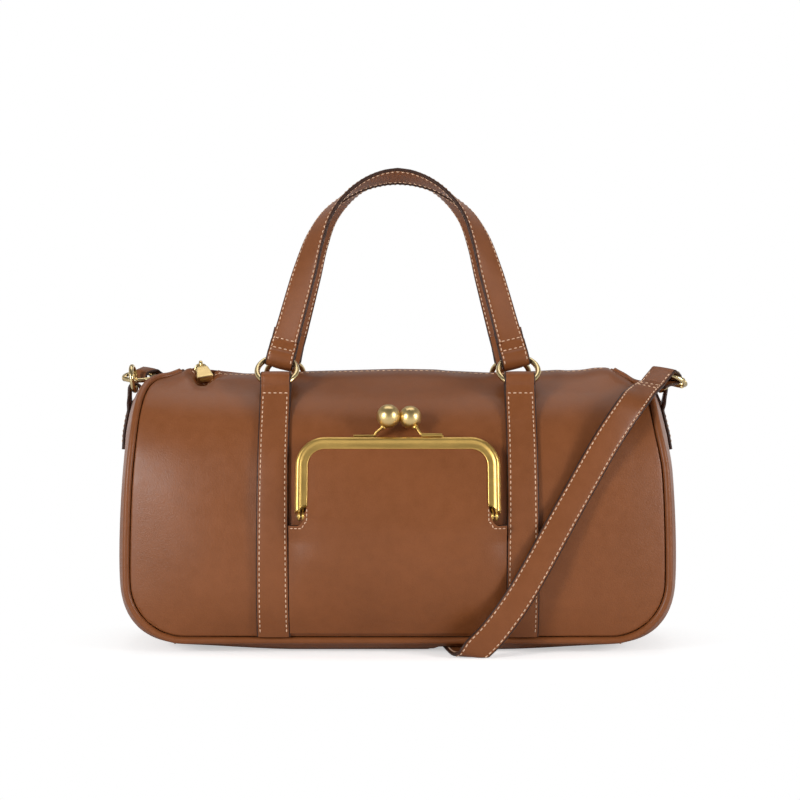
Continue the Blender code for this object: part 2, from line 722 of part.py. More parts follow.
def make_body(skins):
    ups = paced(SIDE_SEAM, PANEL_TURN, PANEL_STRIDE)
    ups /= ups[-1]
    outer = panel_grid(PANEL_COLUMNS, ups, SEAM_INSET, 0.0)
    inner = panel_grid(PANEL_COLUMNS, ups, SEAM_INSET, LEATHER)
    depth = LEATHER + LINING_GAP
    lining_inset = SEAM_INSET + LEATHER + LINING_GAP + LINING
    lining_ups = np.linspace(0.0, LINING_TOP_SHARE, LINING_ROWS)
    lining_outer = panel_grid(LINING_COLUMNS, lining_ups, lining_inset, depth)
    lining_inner = panel_grid(LINING_COLUMNS, lining_ups, lining_inset, depth + LINING)
    for side, flip in (("front", FRONT), ("back", BACK)):
        shell(f"{side}_panel", outer * flip, inner * flip, skins["leather"])
        shell(f"{side}_lining", lining_outer * flip, lining_inner * flip, skins["lining"])
        runs = paced(HALF_SEAM, PIPING_TURN, PIPING_STRIDE)
        seam = np.array([seam_at(run) for run in np.concatenate([-runs[:0:-1], runs])]) * flip
        sweep(f"{side}_piping", seam, Y_AXIS, round_section(PIPING_RADIUS, PIPING_SIDES), skins["leather"])
    start = BASE_HALF_LENGTH + CLEARANCE
    runs = paced(HALF_SEAM, PANEL_TURN, PANEL_STRIDE)
    stop = SEAM_LENGTH - STOP_LENGTH
    between = runs[(runs > start + STOP_LENGTH) & (runs < stop - STOP_LENGTH)]
    runs = np.concatenate([[start], between, [stop]])
    outer = gusset_grid(runs, 9, SEAM_INSET, 0.0, GUSSET_STEP)
    inner = gusset_grid(runs, 9, SEAM_INSET, LEATHER, GUSSET_STEP)
    for side, flip in (("right", FRONT), ("left", LEFT)):
        shell(f"{side}_gusset", outer * flip, inner * flip, skins["leather"])
    shell("base_panel", base_grid(11, 0.0), base_grid(11, LEATHER), skins["leather"])
    make_board(skins)


def make_board(skins):
    """The stiffening board on the base, its four corners cut off."""
    low = LEATHER + GROOVE_DEPTH + CLEARANCE
    chamfer = BOARD_HALF_DEPTH / 3
    outline = [
        (BOARD_HALF_LENGTH, BOARD_HALF_DEPTH - chamfer),
        (BOARD_HALF_LENGTH - chamfer, BOARD_HALF_DEPTH),
        (chamfer - BOARD_HALF_LENGTH, BOARD_HALF_DEPTH),
        (-BOARD_HALF_LENGTH, BOARD_HALF_DEPTH - chamfer),
        (-BOARD_HALF_LENGTH, chamfer - BOARD_HALF_DEPTH),
        (chamfer - BOARD_HALF_LENGTH, -BOARD_HALF_DEPTH),
        (BOARD_HALF_LENGTH - chamfer, -BOARD_HALF_DEPTH),
        (BOARD_HALF_LENGTH, chamfer - BOARD_HALF_DEPTH),
    ]
    add_prism("base_board", outline, low, low + BOARD_THICKNESS, skins["board"])


def add_prism(name, outline, low, high, skin):
    """An outline in X and Y carried from one height to another."""
    points, faces = prism_mesh(outline, low, high)
    return add_object(name, points, faces, skin)


def prism_mesh(outline, low, high):
    count = len(outline)
    points = np.array([(x, y, low) for x, y in outline] + [(x, y, high) for x, y in outline])
    faces = [tuple(range(count - 1, -1, -1)), tuple(range(count, 2 * count))]
    faces += [(k, (k + 1) % count, (k + 1) % count + count, k + count) for k in range(count)]
    return points, faces


# Zip

TAPE_TOP = BODY_HEIGHT - LEATHER - TAPE_DROP
TEETH_LOW = TAPE_TOP + CLEARANCE
TEETH_TOP = TEETH_LOW + TEETH_HEIGHT
TEETH_HALF_LENGTH = ZIP_HALF_LENGTH - 2 * STOP_LENGTH
TEETH_SWING = 0.0009


def make_zip(skins):
    tape_z = TAPE_TOP - TAPE_THICKNESS / 2
    tape_y = -(TAPE_INNER + TAPE_WIDTH / 2)
    ends = [(x, tape_y, tape_z) for x in (-TEETH_HALF_LENGTH, 0.0, TEETH_HALF_LENGTH)]
    for side, flip in (("front", FRONT), ("back", BACK)):
        section = strip_section(TAPE_WIDTH, TAPE_THICKNESS)
        sweep(f"{side}_zip_tape", np.array(ends) * flip, Y_AXIS, section, skins["tape"])
        outline = teeth_outline(-1 if side == "front" else 1)
        add_prism(f"{side}_zip_teeth", outline, TEETH_LOW, TEETH_TOP, skins["brass"])
    stop_x = TEETH_HALF_LENGTH + CLEARANCE
    for side, sign in (("left", -1), ("right", 1)):
        xs = sorted((sign * stop_x, sign * (stop_x + STOP_LENGTH)))
        low = (xs[0], -TEETH_ROOT, TEETH_LOW - TEETH_HEIGHT / 2)
        high = (xs[1], TEETH_ROOT, TEETH_TOP)
        add_object(f"{side}_zip_stop", *box_mesh(low, high), skins["brass"])
    make_slider(skins)


def teeth_outline(side):
    """One row of teeth: a zigzag that meets the other row along the middle."""
    count = int(2 * TEETH_HALF_LENGTH / TEETH_PITCH) * 2
    step = TEETH_PITCH / 2
    start = -step * count / 2
    teeth = [
        (start + step * i, TEETH_SWING * (1 if i % 2 else -1) + side * 0.75 * CLEARANCE)
        for i in range(count + 1)
    ]
    return teeth + [(-start, side * TEETH_ROOT), (start, side * TEETH_ROOT)]


def make_slider(skins):
    half = SLIDER_LENGTH / 2
    low = TEETH_TOP + CLEARANCE
    high = low + SLIDER_WALL
    wide = SLIDER_WIDTH / 2
    shapes = [box_mesh((SLIDER_X - half, -wide, low), (SLIDER_X + half, wide, high))]
    for sign in (-1, 1):
        ys = sorted((sign * wide, sign * (wide - SLIDER_WALL)))
        wall_low = (SLIDER_X - half, ys[0], TEETH_LOW + 2 * CLEARANCE)
        shapes.append(box_mesh(wall_low, (SLIDER_X + half, ys[1], low + SLIDER_WALL / 2)))
    reach = half - 2 * BRIDGE_WIRE
    foot = high - BRIDGE_WIRE / 2
    arch = smooth(
        [
            (SLIDER_X - reach, 0.0, foot),
            (SLIDER_X - 0.92 * reach, 0.0, foot + 0.60 * BRIDGE_HEIGHT),
            (SLIDER_X - 0.55 * reach, 0.0, foot + 0.96 * BRIDGE_HEIGHT),
            (SLIDER_X, 0.0, foot + BRIDGE_HEIGHT),
            (SLIDER_X + 0.55 * reach, 0.0, foot + 0.96 * BRIDGE_HEIGHT),
            (SLIDER_X + 0.92 * reach, 0.0, foot + 0.60 * BRIDGE_HEIGHT),
            (SLIDER_X + reach, 0.0, foot),
        ],
        13,
    )
    shapes.append(sweep_mesh(arch, Y_AXIS, round_section(BRIDGE_WIRE)))
    join("zip_slider", shapes, skins["brass"], (SLIDER_X, 0.0, low))
    make_tab(skins, foot + BRIDGE_HEIGHT)


def make_tab(skins, pivot_z):
    """The pull tab: a drilled head around the slider's arch and a body that widens to its free end."""
    pivot = np.array((SLIDER_X, 0.0, pivot_z))
    down = np.array((0.0, -math.cos(TAB_DROOP), -math.sin(TAB_DROOP)))
    head = disc_mesh(pivot, X_AXIS, TAB_HEAD_RADIUS, TAB_HEAD_WIDTH, 16)
    reaches = (0.64 * TAB_HEAD_RADIUS, 1.5 * TAB_HEAD_RADIUS, TAB_LENGTH)
    centres = [pivot + down * reach for reach in reaches]
    sections = [
        strip_section(0.98 * TAB_HEAD_WIDTH, TAB_TOP_THICKNESS),
        strip_section(TAB_TOP_WIDTH, TAB_TOP_THICKNESS),
        strip_section(TAB_END_WIDTH, TAB_THICKNESS),
    ]
    body = sweep_mesh(centres, X_AXIS, sections)
    hole = disc_mesh(pivot, X_AXIS, TAB_HOLE, 2 * TAB_HEAD_WIDTH, 16)
    join("zip_pull_tab", [head, body], skins["brass"], tuple(pivot), [hole])


# Straps that turn back around a wire


def loop_stations(wire, away, out, wire_radius, leaf, slack=LOOP_SLACK):
    """Centres of a strap end from its front leaf, around the wire and back down its rear leaf."""
    radius = wire_radius + slack + LOOP_LEATHER / 2
    opening = math.radians(118)
    turn = [
        wire + radius * (-math.cos(a) * away + math.sin(a) * out)
        for a in np.linspace(opening, -opening, 10)
    ]
    front = wire + away * NECK_LENGTH + out * LEAF_OFFSET
    share = min((leaf - NECK_LENGTH) / NECK_LENGTH, 1.0)
    behind = LEAF_OFFSET + (LEAF_BEHIND - LEAF_OFFSET) * share
    rear = [front - 2 * out * LEAF_OFFSET, wire + away * leaf - out * behind]
    return [front] + turn + rear


def strap_sections(centres, wires, width, thickness, neck, thin):
    """Sections of a strap that narrows to its neck close to each wire, its rear leaves thin."""
    sections = []
    for number, centre in enumerate(centres):
        near = min(np.linalg.norm(centre - wire) for wire in wires)
        share = ease((near - NECK_LENGTH * 0.8) / (NECK_LENGTH * 0.5))
        wide = neck + (width - neck) * share
        if number in thin:
            share = 0.0
        thick = LOOP_LEATHER + (thickness - LOOP_LEATHER) * share
        sections.append(strip_section(wide, thick))
    return sections


RING_UP = np.array((0.0, math.sin(RING_LEAN), math.cos(RING_LEAN)))
RING_CENTRE = np.array((STRAP_X, RING_Y, RING_Z))
RING_LOW = RING_CENTRE - RING_RADIUS * RING_UP
RING_HIGH = RING_CENTRE + RING_RADIUS * RING_UP


def make_body_straps(skins):
    away = np.array((0.0, -math.sin(STRAP_DIP), -math.cos(STRAP_DIP)))
    out = np.array((0.0, -math.cos(STRAP_DIP), math.sin(STRAP_DIP)))
    seat = STRAP_THICKNESS / 2 + CLEARANCE + STRAP_SEAT
    low = panel_edges(2 * SEAM_INSET)[1](0.0)
    path, guides = [], []
    for v in np.linspace(low, STRAP_LIFT_SHARE, STRAP_STATIONS):
        u = STRAP_X / along(SIDE_SEAM, v)[0]
        for _ in range(4):
            u *= STRAP_X / panel(u, v)[0]
        step = 0.02
        path.append(panel(u, v) + panel_normal(u, v) * seat)
        guides.append(unit(panel(u + step, v) - panel(u - step, v)))
    loop = loop_stations(RING_LOW, away, out, RING_WIRE, STRAP_LEAF)
    centres = np.array(path + loop)
    guides = np.array(guides + [X_AXIS] * len(loop))
    rear = range(len(centres) - 2, len(centres))
    sections = strap_sections(centres, [RING_LOW], STRAP_WIDTH, STRAP_THICKNESS, NECK_WIDTH, rear)
    for side, flip in (("front", FRONT), ("back", BACK)):
        for hand, mirror in (("right", FRONT), ("left", LEFT)):
            turn = flip * mirror
            sweep(f"{side}_{hand}_strap", centres * turn, guides * turn, sections, skins["leather"])


def make_rings(skins):
    for side, flip in (("front", FRONT), ("back", BACK)):
        for hand, mirror in (("right", FRONT), ("left", LEFT)):
            turn = flip * mirror
            centre, up, pivot = RING_CENTRE * turn, RING_UP * turn, RING_LOW * turn
            name = f"{side}_{hand}_ring"
            ring(name, centre, X_AXIS, up, RING_RADIUS, RING_WIRE, skins["brass"], tuple(pivot))


def make_handles(skins):
    """Each handle's width lies along X at the rings and turns to lie along Y at the top."""
    rise = HANDLE_TOP - RING_HIGH[2]
    neck_end = RING_HIGH + Z_AXIS * NECK_LENGTH - Y_AXIS * LEAF_OFFSET
    leg = [neck_end]
    for x_share, rise_share in HANDLE_SHARES:
        y = neck_end[1] + (-HANDLE_GAP_HALF - neck_end[1]) * rise_share
        leg.append(np.array((STRAP_X * x_share, y, RING_HIGH[2] + rise * rise_share)))
    half = smooth(leg, HANDLE_STATIONS)
    arch = np.vstack([half, half[-2::-1] * LEFT])
    tangents, _, _ = stations(arch, X_AXIS + Y_AXIS)
    guides = []
    for i, tangent in enumerate(tangents):
        share = min(i, len(arch) - 1 - i) / (len(half) - 1)
        share = ease((share - HANDLE_TWIST_START_SHARE) / (1 - HANDLE_TWIST_START_SHARE))
        inward = unit((-tangent[2], 0.0, tangent[0]))
        guides.append(math.cos(HANDLE_TWIST * share) * inward - math.sin(HANDLE_TWIST * share) * Y_AXIS)
    loop = loop_stations(RING_HIGH, Z_AXIS, -Y_AXIS, RING_WIRE, HANDLE_LEAF)
    leaf_z = RING_HIGH[2] + HANDLE_LEAF
    leaf_y = np.interp(leaf_z, half[:, 2], half[:, 1]) + LEAF_BEHIND + CLEARANCE
    loop[-1] = np.array((STRAP_X, leaf_y, leaf_z))
    loop[-2] = loop[-2] + LEAF_GAP * Y_AXIS
    start = np.array(loop[:0:-1])
    finish = start[::-1] * LEFT
    centres = np.vstack([start, arch, finish])
    ends = [-X_AXIS] * len(start)
    guides = np.array(ends + [-X_AXIS] + guides[1:-1] + [X_AXIS] + [X_AXIS] * len(finish))
    wires = [RING_HIGH, RING_HIGH * LEFT]
    rear = (0, 1, len(centres) - 2, len(centres) - 1)
    sections = strap_sections(centres, wires, STRAP_WIDTH, STRAP_THICKNESS, NECK_WIDTH, rear)
    for side, flip in (("front", FRONT), ("back", BACK)):
        pivot = tuple(RING_HIGH * LEFT * flip)
        sweep(f"{side}_handle", centres * flip, guides * flip, sections, skins["leather"], False, pivot)


# Kiss-lock frame


def middle_y(z):
    """The panel's depth at mid-width at a height on its upright part."""
    return float(np.interp(z, MIDDLE[:, 2], MIDDLE[:, 1]))


FRAME_TOP_Z = FRAME_HINGE_Z + FRAME_HEIGHT
FRAME_UP = unit((0.0, middle_y(FRAME_TOP_Z) - middle_y(FRAME_HINGE_Z), FRAME_HEIGHT))
FRAME_OUT = np.array((0.0, -FRAME_UP[2], FRAME_UP[1]))
FRAME_FOOT = np.array((0.0, middle_y(FRAME_HINGE_Z), FRAME_HINGE_Z))
BACK_OUT = FRAME_STANDOFF + BACK_BAR_DEPTH / 2
FRONT_OUT = FRAME_STANDOFF + BACK_BAR_DEPTH + CLEARANCE + FRONT_BAR_DEPTH / 2
HINGE_OUT = (BACK_OUT + FRONT_OUT) / 2
FRAME_PIVOT = FRAME_FOOT + HINGE_OUT * FRAME_OUT


def frame_point(x, rise, out):
    return FRAME_FOOT + x * X_AXIS + rise * FRAME_UP + out * FRAME_OUT


def frame_bar(out, depth):
    """The inverted U of one frame half."""
    corner_x = FRAME_HALF_WIDTH - FRAME_CORNER
    corner_rise = FRAME_HEIGHT - FRAME_CORNER
    half = [(FRAME_HALF_WIDTH, FRAME_LEG_FOOT), (FRAME_HALF_WIDTH, corner_rise / 2 + FRAME_LEG_FOOT / 2)]
    half += [
        (corner_x + FRAME_CORNER * math.cos(a), corner_rise + FRAME_CORNER * math.sin(a))
        for a in np.linspace(0.0, math.pi / 2, 6)
    ]
    half += [(0.0, FRAME_HEIGHT)]
    path = half + [(-x, rise) for x, rise in half[-2::-1]]
    centres = np.array([frame_point(x, rise, out) for x, rise in path])
    return sweep_mesh(centres, -FRAME_OUT, strip_section(depth, FRAME_BAR))


def frame_eye(x, out, depth):
    """A hinge eye beside a leg's foot, with the block that joins it to the leg."""
    eye = disc_mesh(frame_point(x, 0.0, HINGE_OUT), X_AXIS, EYE_RADIUS, EYE_WIDTH, 16)
    block = sweep_mesh(
        np.array([frame_point(x, 0.0, (HINGE_OUT + out) / 2), frame_point(x, 1.5 * FRAME_LEG_FOOT, out)]),
        FRAME_OUT,
        strip_section(0.9 * depth, EYE_BLOCK_SHARE * EYE_WIDTH),
    )
    return [eye, block]


def make_purse_frame(skins):
    eye_gap = (EYE_WIDTH + CLEARANCE) / 2
    pivot = tuple(FRAME_PIVOT)
    for side, out, depth, shift in (
        ("back", BACK_OUT, BACK_BAR_DEPTH, -eye_gap),
        ("front", FRONT_OUT, FRONT_BAR_DEPTH, eye_gap),
    ):
        shapes = [frame_bar(out, depth)]
        cuts = []
        for sign in (-1, 1):
            x = sign * (FRAME_HALF_WIDTH + shift)
            shapes += frame_eye(x, out, depth)
            centre = frame_point(x, 0.0, HINGE_OUT)
            cuts.append(disc_mesh(centre, X_AXIS, PIN_RADIUS + CLEARANCE, 2 * EYE_WIDTH))
        join(f"purse_{side}_frame", shapes, skins["brass"], pivot, cuts)
    for hand, sign in (("left", -1), ("right", 1)):
        centre = frame_point(sign * FRAME_HALF_WIDTH, 0.0, HINGE_OUT)
        reach = EYE_WIDTH + 1.5 * CLEARANCE
        shank = disc_mesh(centre, X_AXIS, PIN_RADIUS, 2 * reach + PIN_HEAD)
        shapes = [shank]
        for end in (-1, 1):
            head = centre + end * (reach + PIN_HEAD / 2) * X_AXIS
            shapes.append(disc_mesh(head, X_AXIS, PIN_HEAD_RADIUS, PIN_HEAD))
        join(f"purse_{hand}_rivet", shapes, skins["brass"], tuple(centre))
    make_clasp(skins)
    make_pocket(skins)


def make_clasp(skins):
    """Two plates with stems whose balls pass each other above the frame."""
    top = FRAME_HEIGHT + FRAME_BAR / 2 + CLEARANCE
    for side, sign, out, depth, ball_out in (
        ("front", 1, FRONT_OUT, FRONT_BAR_DEPTH, HINGE_OUT - BALL_STAGGER / 2),
        ("back", -1, BACK_OUT, BACK_BAR_DEPTH, HINGE_OUT + BALL_STAGGER / 2),
    ):
        xs = (sign * PLATE_INNER, sign * PLATE_OUTER)
        middle = top + PLATE_THICKNESS / 2
        ends = np.array([frame_point(x, middle, out) for x in xs])
        plate = sweep_mesh(ends, FRAME_OUT, strip_section(0.9 * depth, PLATE_THICKNESS))
        inner = PLATE_INNER + 3 * STEM_RADIUS
        half_out = (out + ball_out) / 2
        stem = smooth(
            [
                frame_point(sign * inner, top + 1.2 * STEM_RADIUS, out),
                frame_point(sign * (inner - 3 * STEM_RADIUS), top + 1.8 * STEM_RADIUS, out),
                frame_point(sign * (BALL_X + 2.6 * STEM_RADIUS), top + 3 * STEM_RADIUS, half_out),
                frame_point(sign * BALL_X, BALL_RISE - BALL_RADIUS / 2, ball_out),
            ],
            8,
        )
        arm = sweep_mesh(stem, FRAME_OUT, round_section(STEM_RADIUS))
        centre = frame_point(sign * BALL_X, BALL_RISE, ball_out)
        join(f"purse_{side}_clasp", [ball_mesh(centre), plate, arm], skins["brass"], tuple(FRAME_PIVOT))


def ball_mesh(centre):
    shape = bmesh.new()
    bmesh.ops.create_uvsphere(shape, u_segments=16, v_segments=10, radius=BALL_RADIUS)
    points = np.array([v.co[:] for v in shape.verts]) + centre
    faces = [tuple(v.index for v in face.verts) for face in shape.faces]
    shape.free()
    return points, faces


def make_pocket(skins):
    """The leather leaf held by the front frame, and the fixed pocket panel below it."""
    half = FRAME_HALF_WIDTH - FRAME_BAR / 2 - CLEARANCE
    top = FRAME_HEIGHT - FRAME_BAR / 2 - CLEARANCE
    corner = FRAME_CORNER - FRAME_BAR / 2
    outline = [(-half, -LEAF_DROP), (half, -LEAF_DROP)]
    for sign, start in ((1, 0.0), (-1, math.pi / 2)):
        for a in np.linspace(start, start + math.pi / 2, 5):
            x = sign * (half - corner) + corner * math.cos(a)
            outline.append((x, top - corner + corner * math.sin(a)))
    out = FRONT_OUT
    points = [frame_point(x, rise, out + s * LEAF_LEATHER / 2) for s in (-1, 1) for x, rise in outline]
    count = len(outline)
    faces = [tuple(range(count - 1, -1, -1)), tuple(range(count, 2 * count))]
    faces += [(k, (k + 1) % count, (k + 1) % count + count, k + count) for k in range(count)]
    add_object("purse_front_leaf", points, faces, skins["leather"], tuple(FRAME_PIVOT))
    low = panel_edges(2 * SEAM_INSET)[1](0.0)
    heights = MIDDLE[:, 2]
    high = float(np.interp(POCKET_TOP_Z, heights, np.linspace(0.0, 1.0, len(heights))))
    outer = np.zeros((POCKET_ROWS, POCKET_COLUMNS, 3))
    inner = np.zeros_like(outer)
    for r in range(POCKET_ROWS):
        v = low + (high - low) * r / (POCKET_ROWS - 1)
        for c in range(POCKET_COLUMNS):
            across = -1.0 + 2.0 * c / (POCKET_COLUMNS - 1)
            u = across * POCKET_HALF_WIDTH / along(SIDE_SEAM, v)[0]
            rise = POCKET_RISE * (1 - abs(across) ** POCKET_EDGE_POWER) * ease(r / (POCKET_ROWS - 1) * 1.2)
            normal = panel_normal(u, v)
            inner[r, c] = panel(u, v) + normal * (CLEARANCE + POCKET_SEAT + rise)
            outer[r, c] = inner[r, c] + normal * LEAF_LEATHER
    shell("pocket_panel", outer, inner, skins["leather"])


# Side tabs, rings and clips


def make_side_hardware(skins):
    """The right side's ring leans out and its clip leads forward; the left one stands and leads back."""
    for hand, flip, lean, lead, twist_share in (
        ("right", FRONT, RIGHT_RING_LEAN, RIGHT_CLIP_LEAD, RIGHT_CLIP_TWIST_SHARE),
        ("left", LEFT, LEFT_RING_LEAN, LEFT_CLIP_LEAD, LEFT_CLIP_TWIST_SHARE),
    ):
        make_side_tab(hand, flip, skins)
        wire = side_wire() * flip
        up = np.array((math.sin(lean), 0.0, math.cos(lean))) * flip
        centre = wire + SIDE_RING_RADIUS * up
        name = f"{hand}_side_ring"
        ring(name, centre, Y_AXIS, up, SIDE_RING_RADIUS, SIDE_RING_WIRE, skins["brass"], tuple(wire))
        make_clip(hand, centre, clip_axes(unit(lead), up, twist_share), skins)


def side_wire():
    return np.array((SIDE_LOOP_X, 0.0, SIDE_LOOP_Z))


def make_side_tab(hand, flip, skins):
    seat = STRAP_THICKNESS / 2 + CLEARANCE + STRAP_SEAT
    runs = np.linspace(0.0, SEAM_LENGTH, 400)
    line = np.array([gusset(run, 0.0) for run in runs[120:]])
    normals = np.array([gusset_normal(run, 0.0, 0.0) for run in runs[120:]])
    upright = np.argmax(line[:, 2])
    path = []
    for z in np.linspace(SIDE_TAB_FOOT_Z, SIDE_TAB_TOP_Z, 5):
        i = int(np.argmin(np.abs(line[:upright, 2] - z)))
        path.append(line[i] + normals[i] * seat * (1 if normals[i][0] > 0 else -1))
    wire = side_wire()
    away = unit(path[-1] - wire)
    out = np.array((-away[2], 0.0, away[0]))
    loop = loop_stations(wire, away, out, SIDE_RING_WIRE, NECK_LENGTH + LOOP_LEATHER / 2)
    centres = np.array(path + loop)
    rear = range(len(centres) - 2, len(centres))
    sections = strap_sections(centres, [wire], SIDE_TAB_WIDTH, STRAP_THICKNESS, SIDE_TAB_NECK, rear)
    sweep(f"{hand}_side_tab", centres * flip, Y_AXIS, sections, skins["leather"])


def clip_axes(lead, up, twist_share):
    """The clip ring's directions: to the strap, and across, from level along X to square to the side ring."""
    level = unit(X_AXIS - lead * np.dot(X_AXIS, lead))
    square = unit(np.cross(up, lead))
    across = (1 - twist_share) * level + twist_share * square
    return lead, unit(across - lead * np.dot(across, lead))


def clip_centre(side_centre, lead):
    link = side_centre + SIDE_RING_RADIUS * math.copysign(1.0, lead[1]) * Y_AXIS
    return link + lead * (CLIP_RADIUS - CLIP_SEAT)


def make_clip(hand, side_centre, axes, skins):
    lead, across = axes
    centre = clip_centre(side_centre, lead)
    across = across if hand == "right" else -across
    start = GATE_START + GATE_SPAN + LATCH_GAP
    span = 2 * math.pi - GATE_SPAN - LATCH_GAP - HINGE_GAP
    body = circle(centre, lead, across, CLIP_RADIUS, start, span, RING_STEPS, False)
    normal = np.cross(lead, across)
    link = centre - lead * CLIP_RADIUS
    sweep(f"{hand}_clip", body, normal, round_section(CLIP_WIRE), skins["brass"], False, tuple(link))
    gate = circle(centre, lead, across, CLIP_RADIUS, GATE_START, GATE_SPAN, 6, False)
    pivot = tuple(gate[0])
    sweep(f"{hand}_clip_gate", gate, normal, round_section(CLIP_WIRE), skins["brass"], False, pivot)


# Shoulder strap


def make_shoulder_strap(skins):
    """From the right clip, across the front and under the base, then behind and up to the left clip."""
    scale = np.array((SEAM_HALF_WIDTH, SEAM_HALF_DEPTH, BODY_HEIGHT))
    route = [np.array(row[:3]) * scale for row in SHOULDER_ROUTE_SHARES]
    widths = [np.array(row[3:]) for row in SHOULDER_ROUTE_SHARES]
    ends = []
    for flip, lean, lead, twist_share, away in (
        (FRONT, RIGHT_RING_LEAN, RIGHT_CLIP_LEAD, RIGHT_CLIP_TWIST_SHARE, RIGHT_STRAP_AWAY),
        (LEFT, LEFT_RING_LEAN, LEFT_CLIP_LEAD, LEFT_CLIP_TWIST_SHARE, LEFT_STRAP_AWAY),
    ):
        up = np.array((math.sin(lean), 0.0, math.cos(lean))) * flip
        side_centre = side_wire() * flip + SIDE_RING_RADIUS * up
        lead, across = clip_axes(unit(lead), up, twist_share)
        wire = clip_centre(side_centre, lead) + lead * CLIP_RADIUS
        away = unit(np.array(away) - across * np.dot(away, across))
        out = np.cross(across, away)
        out = out if out[2] > 0 else -out
        loop = loop_stations(wire, away, out, CLIP_WIRE, SHOULDER_LEAF)
        ends.append((wire, loop, across))
    (right_wire, right_loop, right_across), (left_wire, left_loop, left_across) = ends
    points = [right_loop[0]] + route + [left_loop[0]]
    guides = [right_across] + widths + [left_across]
    data = np.hstack([np.array(points), np.array(guides) * SEAM_HALF_DEPTH])
    fine = fine_curve(data)
    lengths = np.concatenate([[0.0], np.cumsum(np.linalg.norm(np.diff(fine[:, :3], axis=0), axis=1))])
    wanted = np.linspace(0.0, lengths[-1], SHOULDER_STATIONS)
    main = np.stack([np.interp(wanted, lengths, fine[:, i]) for i in range(6)], axis=1)
    centres = np.vstack([right_loop[:0:-1], main[:, :3], left_loop[1:]])
    right_sides = [right_across] * (len(right_loop) - 1)
    left_sides = [left_across] * (len(left_loop) - 1)
    sides = np.vstack([right_sides, main[:, 3:], left_sides])
    wires = [right_wire, left_wire]
    rear = (0, 1, len(centres) - 2, len(centres) - 1)
    sections = strap_sections(centres, wires, SHOULDER_WIDTH, SHOULDER_THICKNESS, NECK_WIDTH, rear)
    points, faces = sweep_mesh(centres, sides, sections)
    _, _, outs = stations(centres, sides)
    for i, out in enumerate(outs):
        for k, floor in enumerate((SHOULDER_THICKNESS, SHOULDER_THICKNESS, 0.0, 0.0)):
            corner = points[4 * i + k]
            corner[2] = max(corner[2], CLEARANCE + floor * abs(out[2]))
    add_object("shoulder_strap", points, faces, skins["leather"])


def main():
    clear_scene()
    skins = make_materials()
    make_body(skins)
    make_zip(skins)
    make_body_straps(skins)
    make_rings(skins)
    make_handles(skins)
    make_purse_frame(skins)
    make_side_hardware(skins)
    make_shoulder_strap(skins)


main()
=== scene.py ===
"""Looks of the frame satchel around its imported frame, in metres, +Z up."""

import math

import bpy
import numpy as np
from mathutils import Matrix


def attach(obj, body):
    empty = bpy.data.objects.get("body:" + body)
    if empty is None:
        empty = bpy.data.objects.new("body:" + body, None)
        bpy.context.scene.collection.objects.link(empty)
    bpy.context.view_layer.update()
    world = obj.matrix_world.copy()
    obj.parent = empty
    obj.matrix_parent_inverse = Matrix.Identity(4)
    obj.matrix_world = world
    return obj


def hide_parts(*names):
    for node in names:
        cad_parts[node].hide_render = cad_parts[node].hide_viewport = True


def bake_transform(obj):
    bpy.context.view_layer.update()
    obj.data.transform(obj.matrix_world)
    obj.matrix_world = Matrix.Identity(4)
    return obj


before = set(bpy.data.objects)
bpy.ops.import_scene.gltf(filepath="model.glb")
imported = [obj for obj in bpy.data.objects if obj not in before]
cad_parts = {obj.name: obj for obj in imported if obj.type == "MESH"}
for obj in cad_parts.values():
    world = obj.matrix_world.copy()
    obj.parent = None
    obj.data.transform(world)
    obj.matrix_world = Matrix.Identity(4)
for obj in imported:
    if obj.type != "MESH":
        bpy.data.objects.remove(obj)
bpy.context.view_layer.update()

bpy.context.scene.view_settings.view_transform = "Standard"

# Sizes that the pieces share with the solids
LEATHER = 0.0020
CLEARANCE = 0.0003
SEAM_HALF_WIDTH = 0.150
SEAM_HALF_DEPTH = 0.055
BODY_HEIGHT = 0.157
CROWN_DEPTH = 0.068
GUSSET_TOP_BULGE = 0.007
GUSSET_STEP = 0.0012
GUSSET_TAPER_SHARE = 0.9
ZIP_HALF_LENGTH = 0.128
ZIP_HALF_GAP = 0.0050
PIPING_RADIUS = 0.0020
CORNER_SPLIT = math.radians(45)
BOTTOM_BLEND_SHARE = 0.35
GROOVE_DEPTH = 0.0029
GROOVE_RAMP = 0.008
GROOVE_REACH = 0.090
GROOVE_SHIFT = 0.030
GROOVE_SLOPE_SHARE = 0.10
STRAP_X = 0.0692
STRAP_THICKNESS = 0.0022
SHOULDER_WIDTH = 0.0165
RING_RADIUS = 0.0113
RING_WIRE = 0.0016
RING_LEAN = math.radians(45)
HANDLE_GAP_HALF = 0.0102
FRAME_HALF_WIDTH = 0.0530
FRAME_HINGE_Z = 0.4885 * BODY_HEIGHT
FRAME_BAR = 0.0068
FRONT_BAR_DEPTH = 0.0038
BACK_BAR_DEPTH = 0.0032
FRAME_STANDOFF = 0.0017
BALL_STAGGER = 0.0030

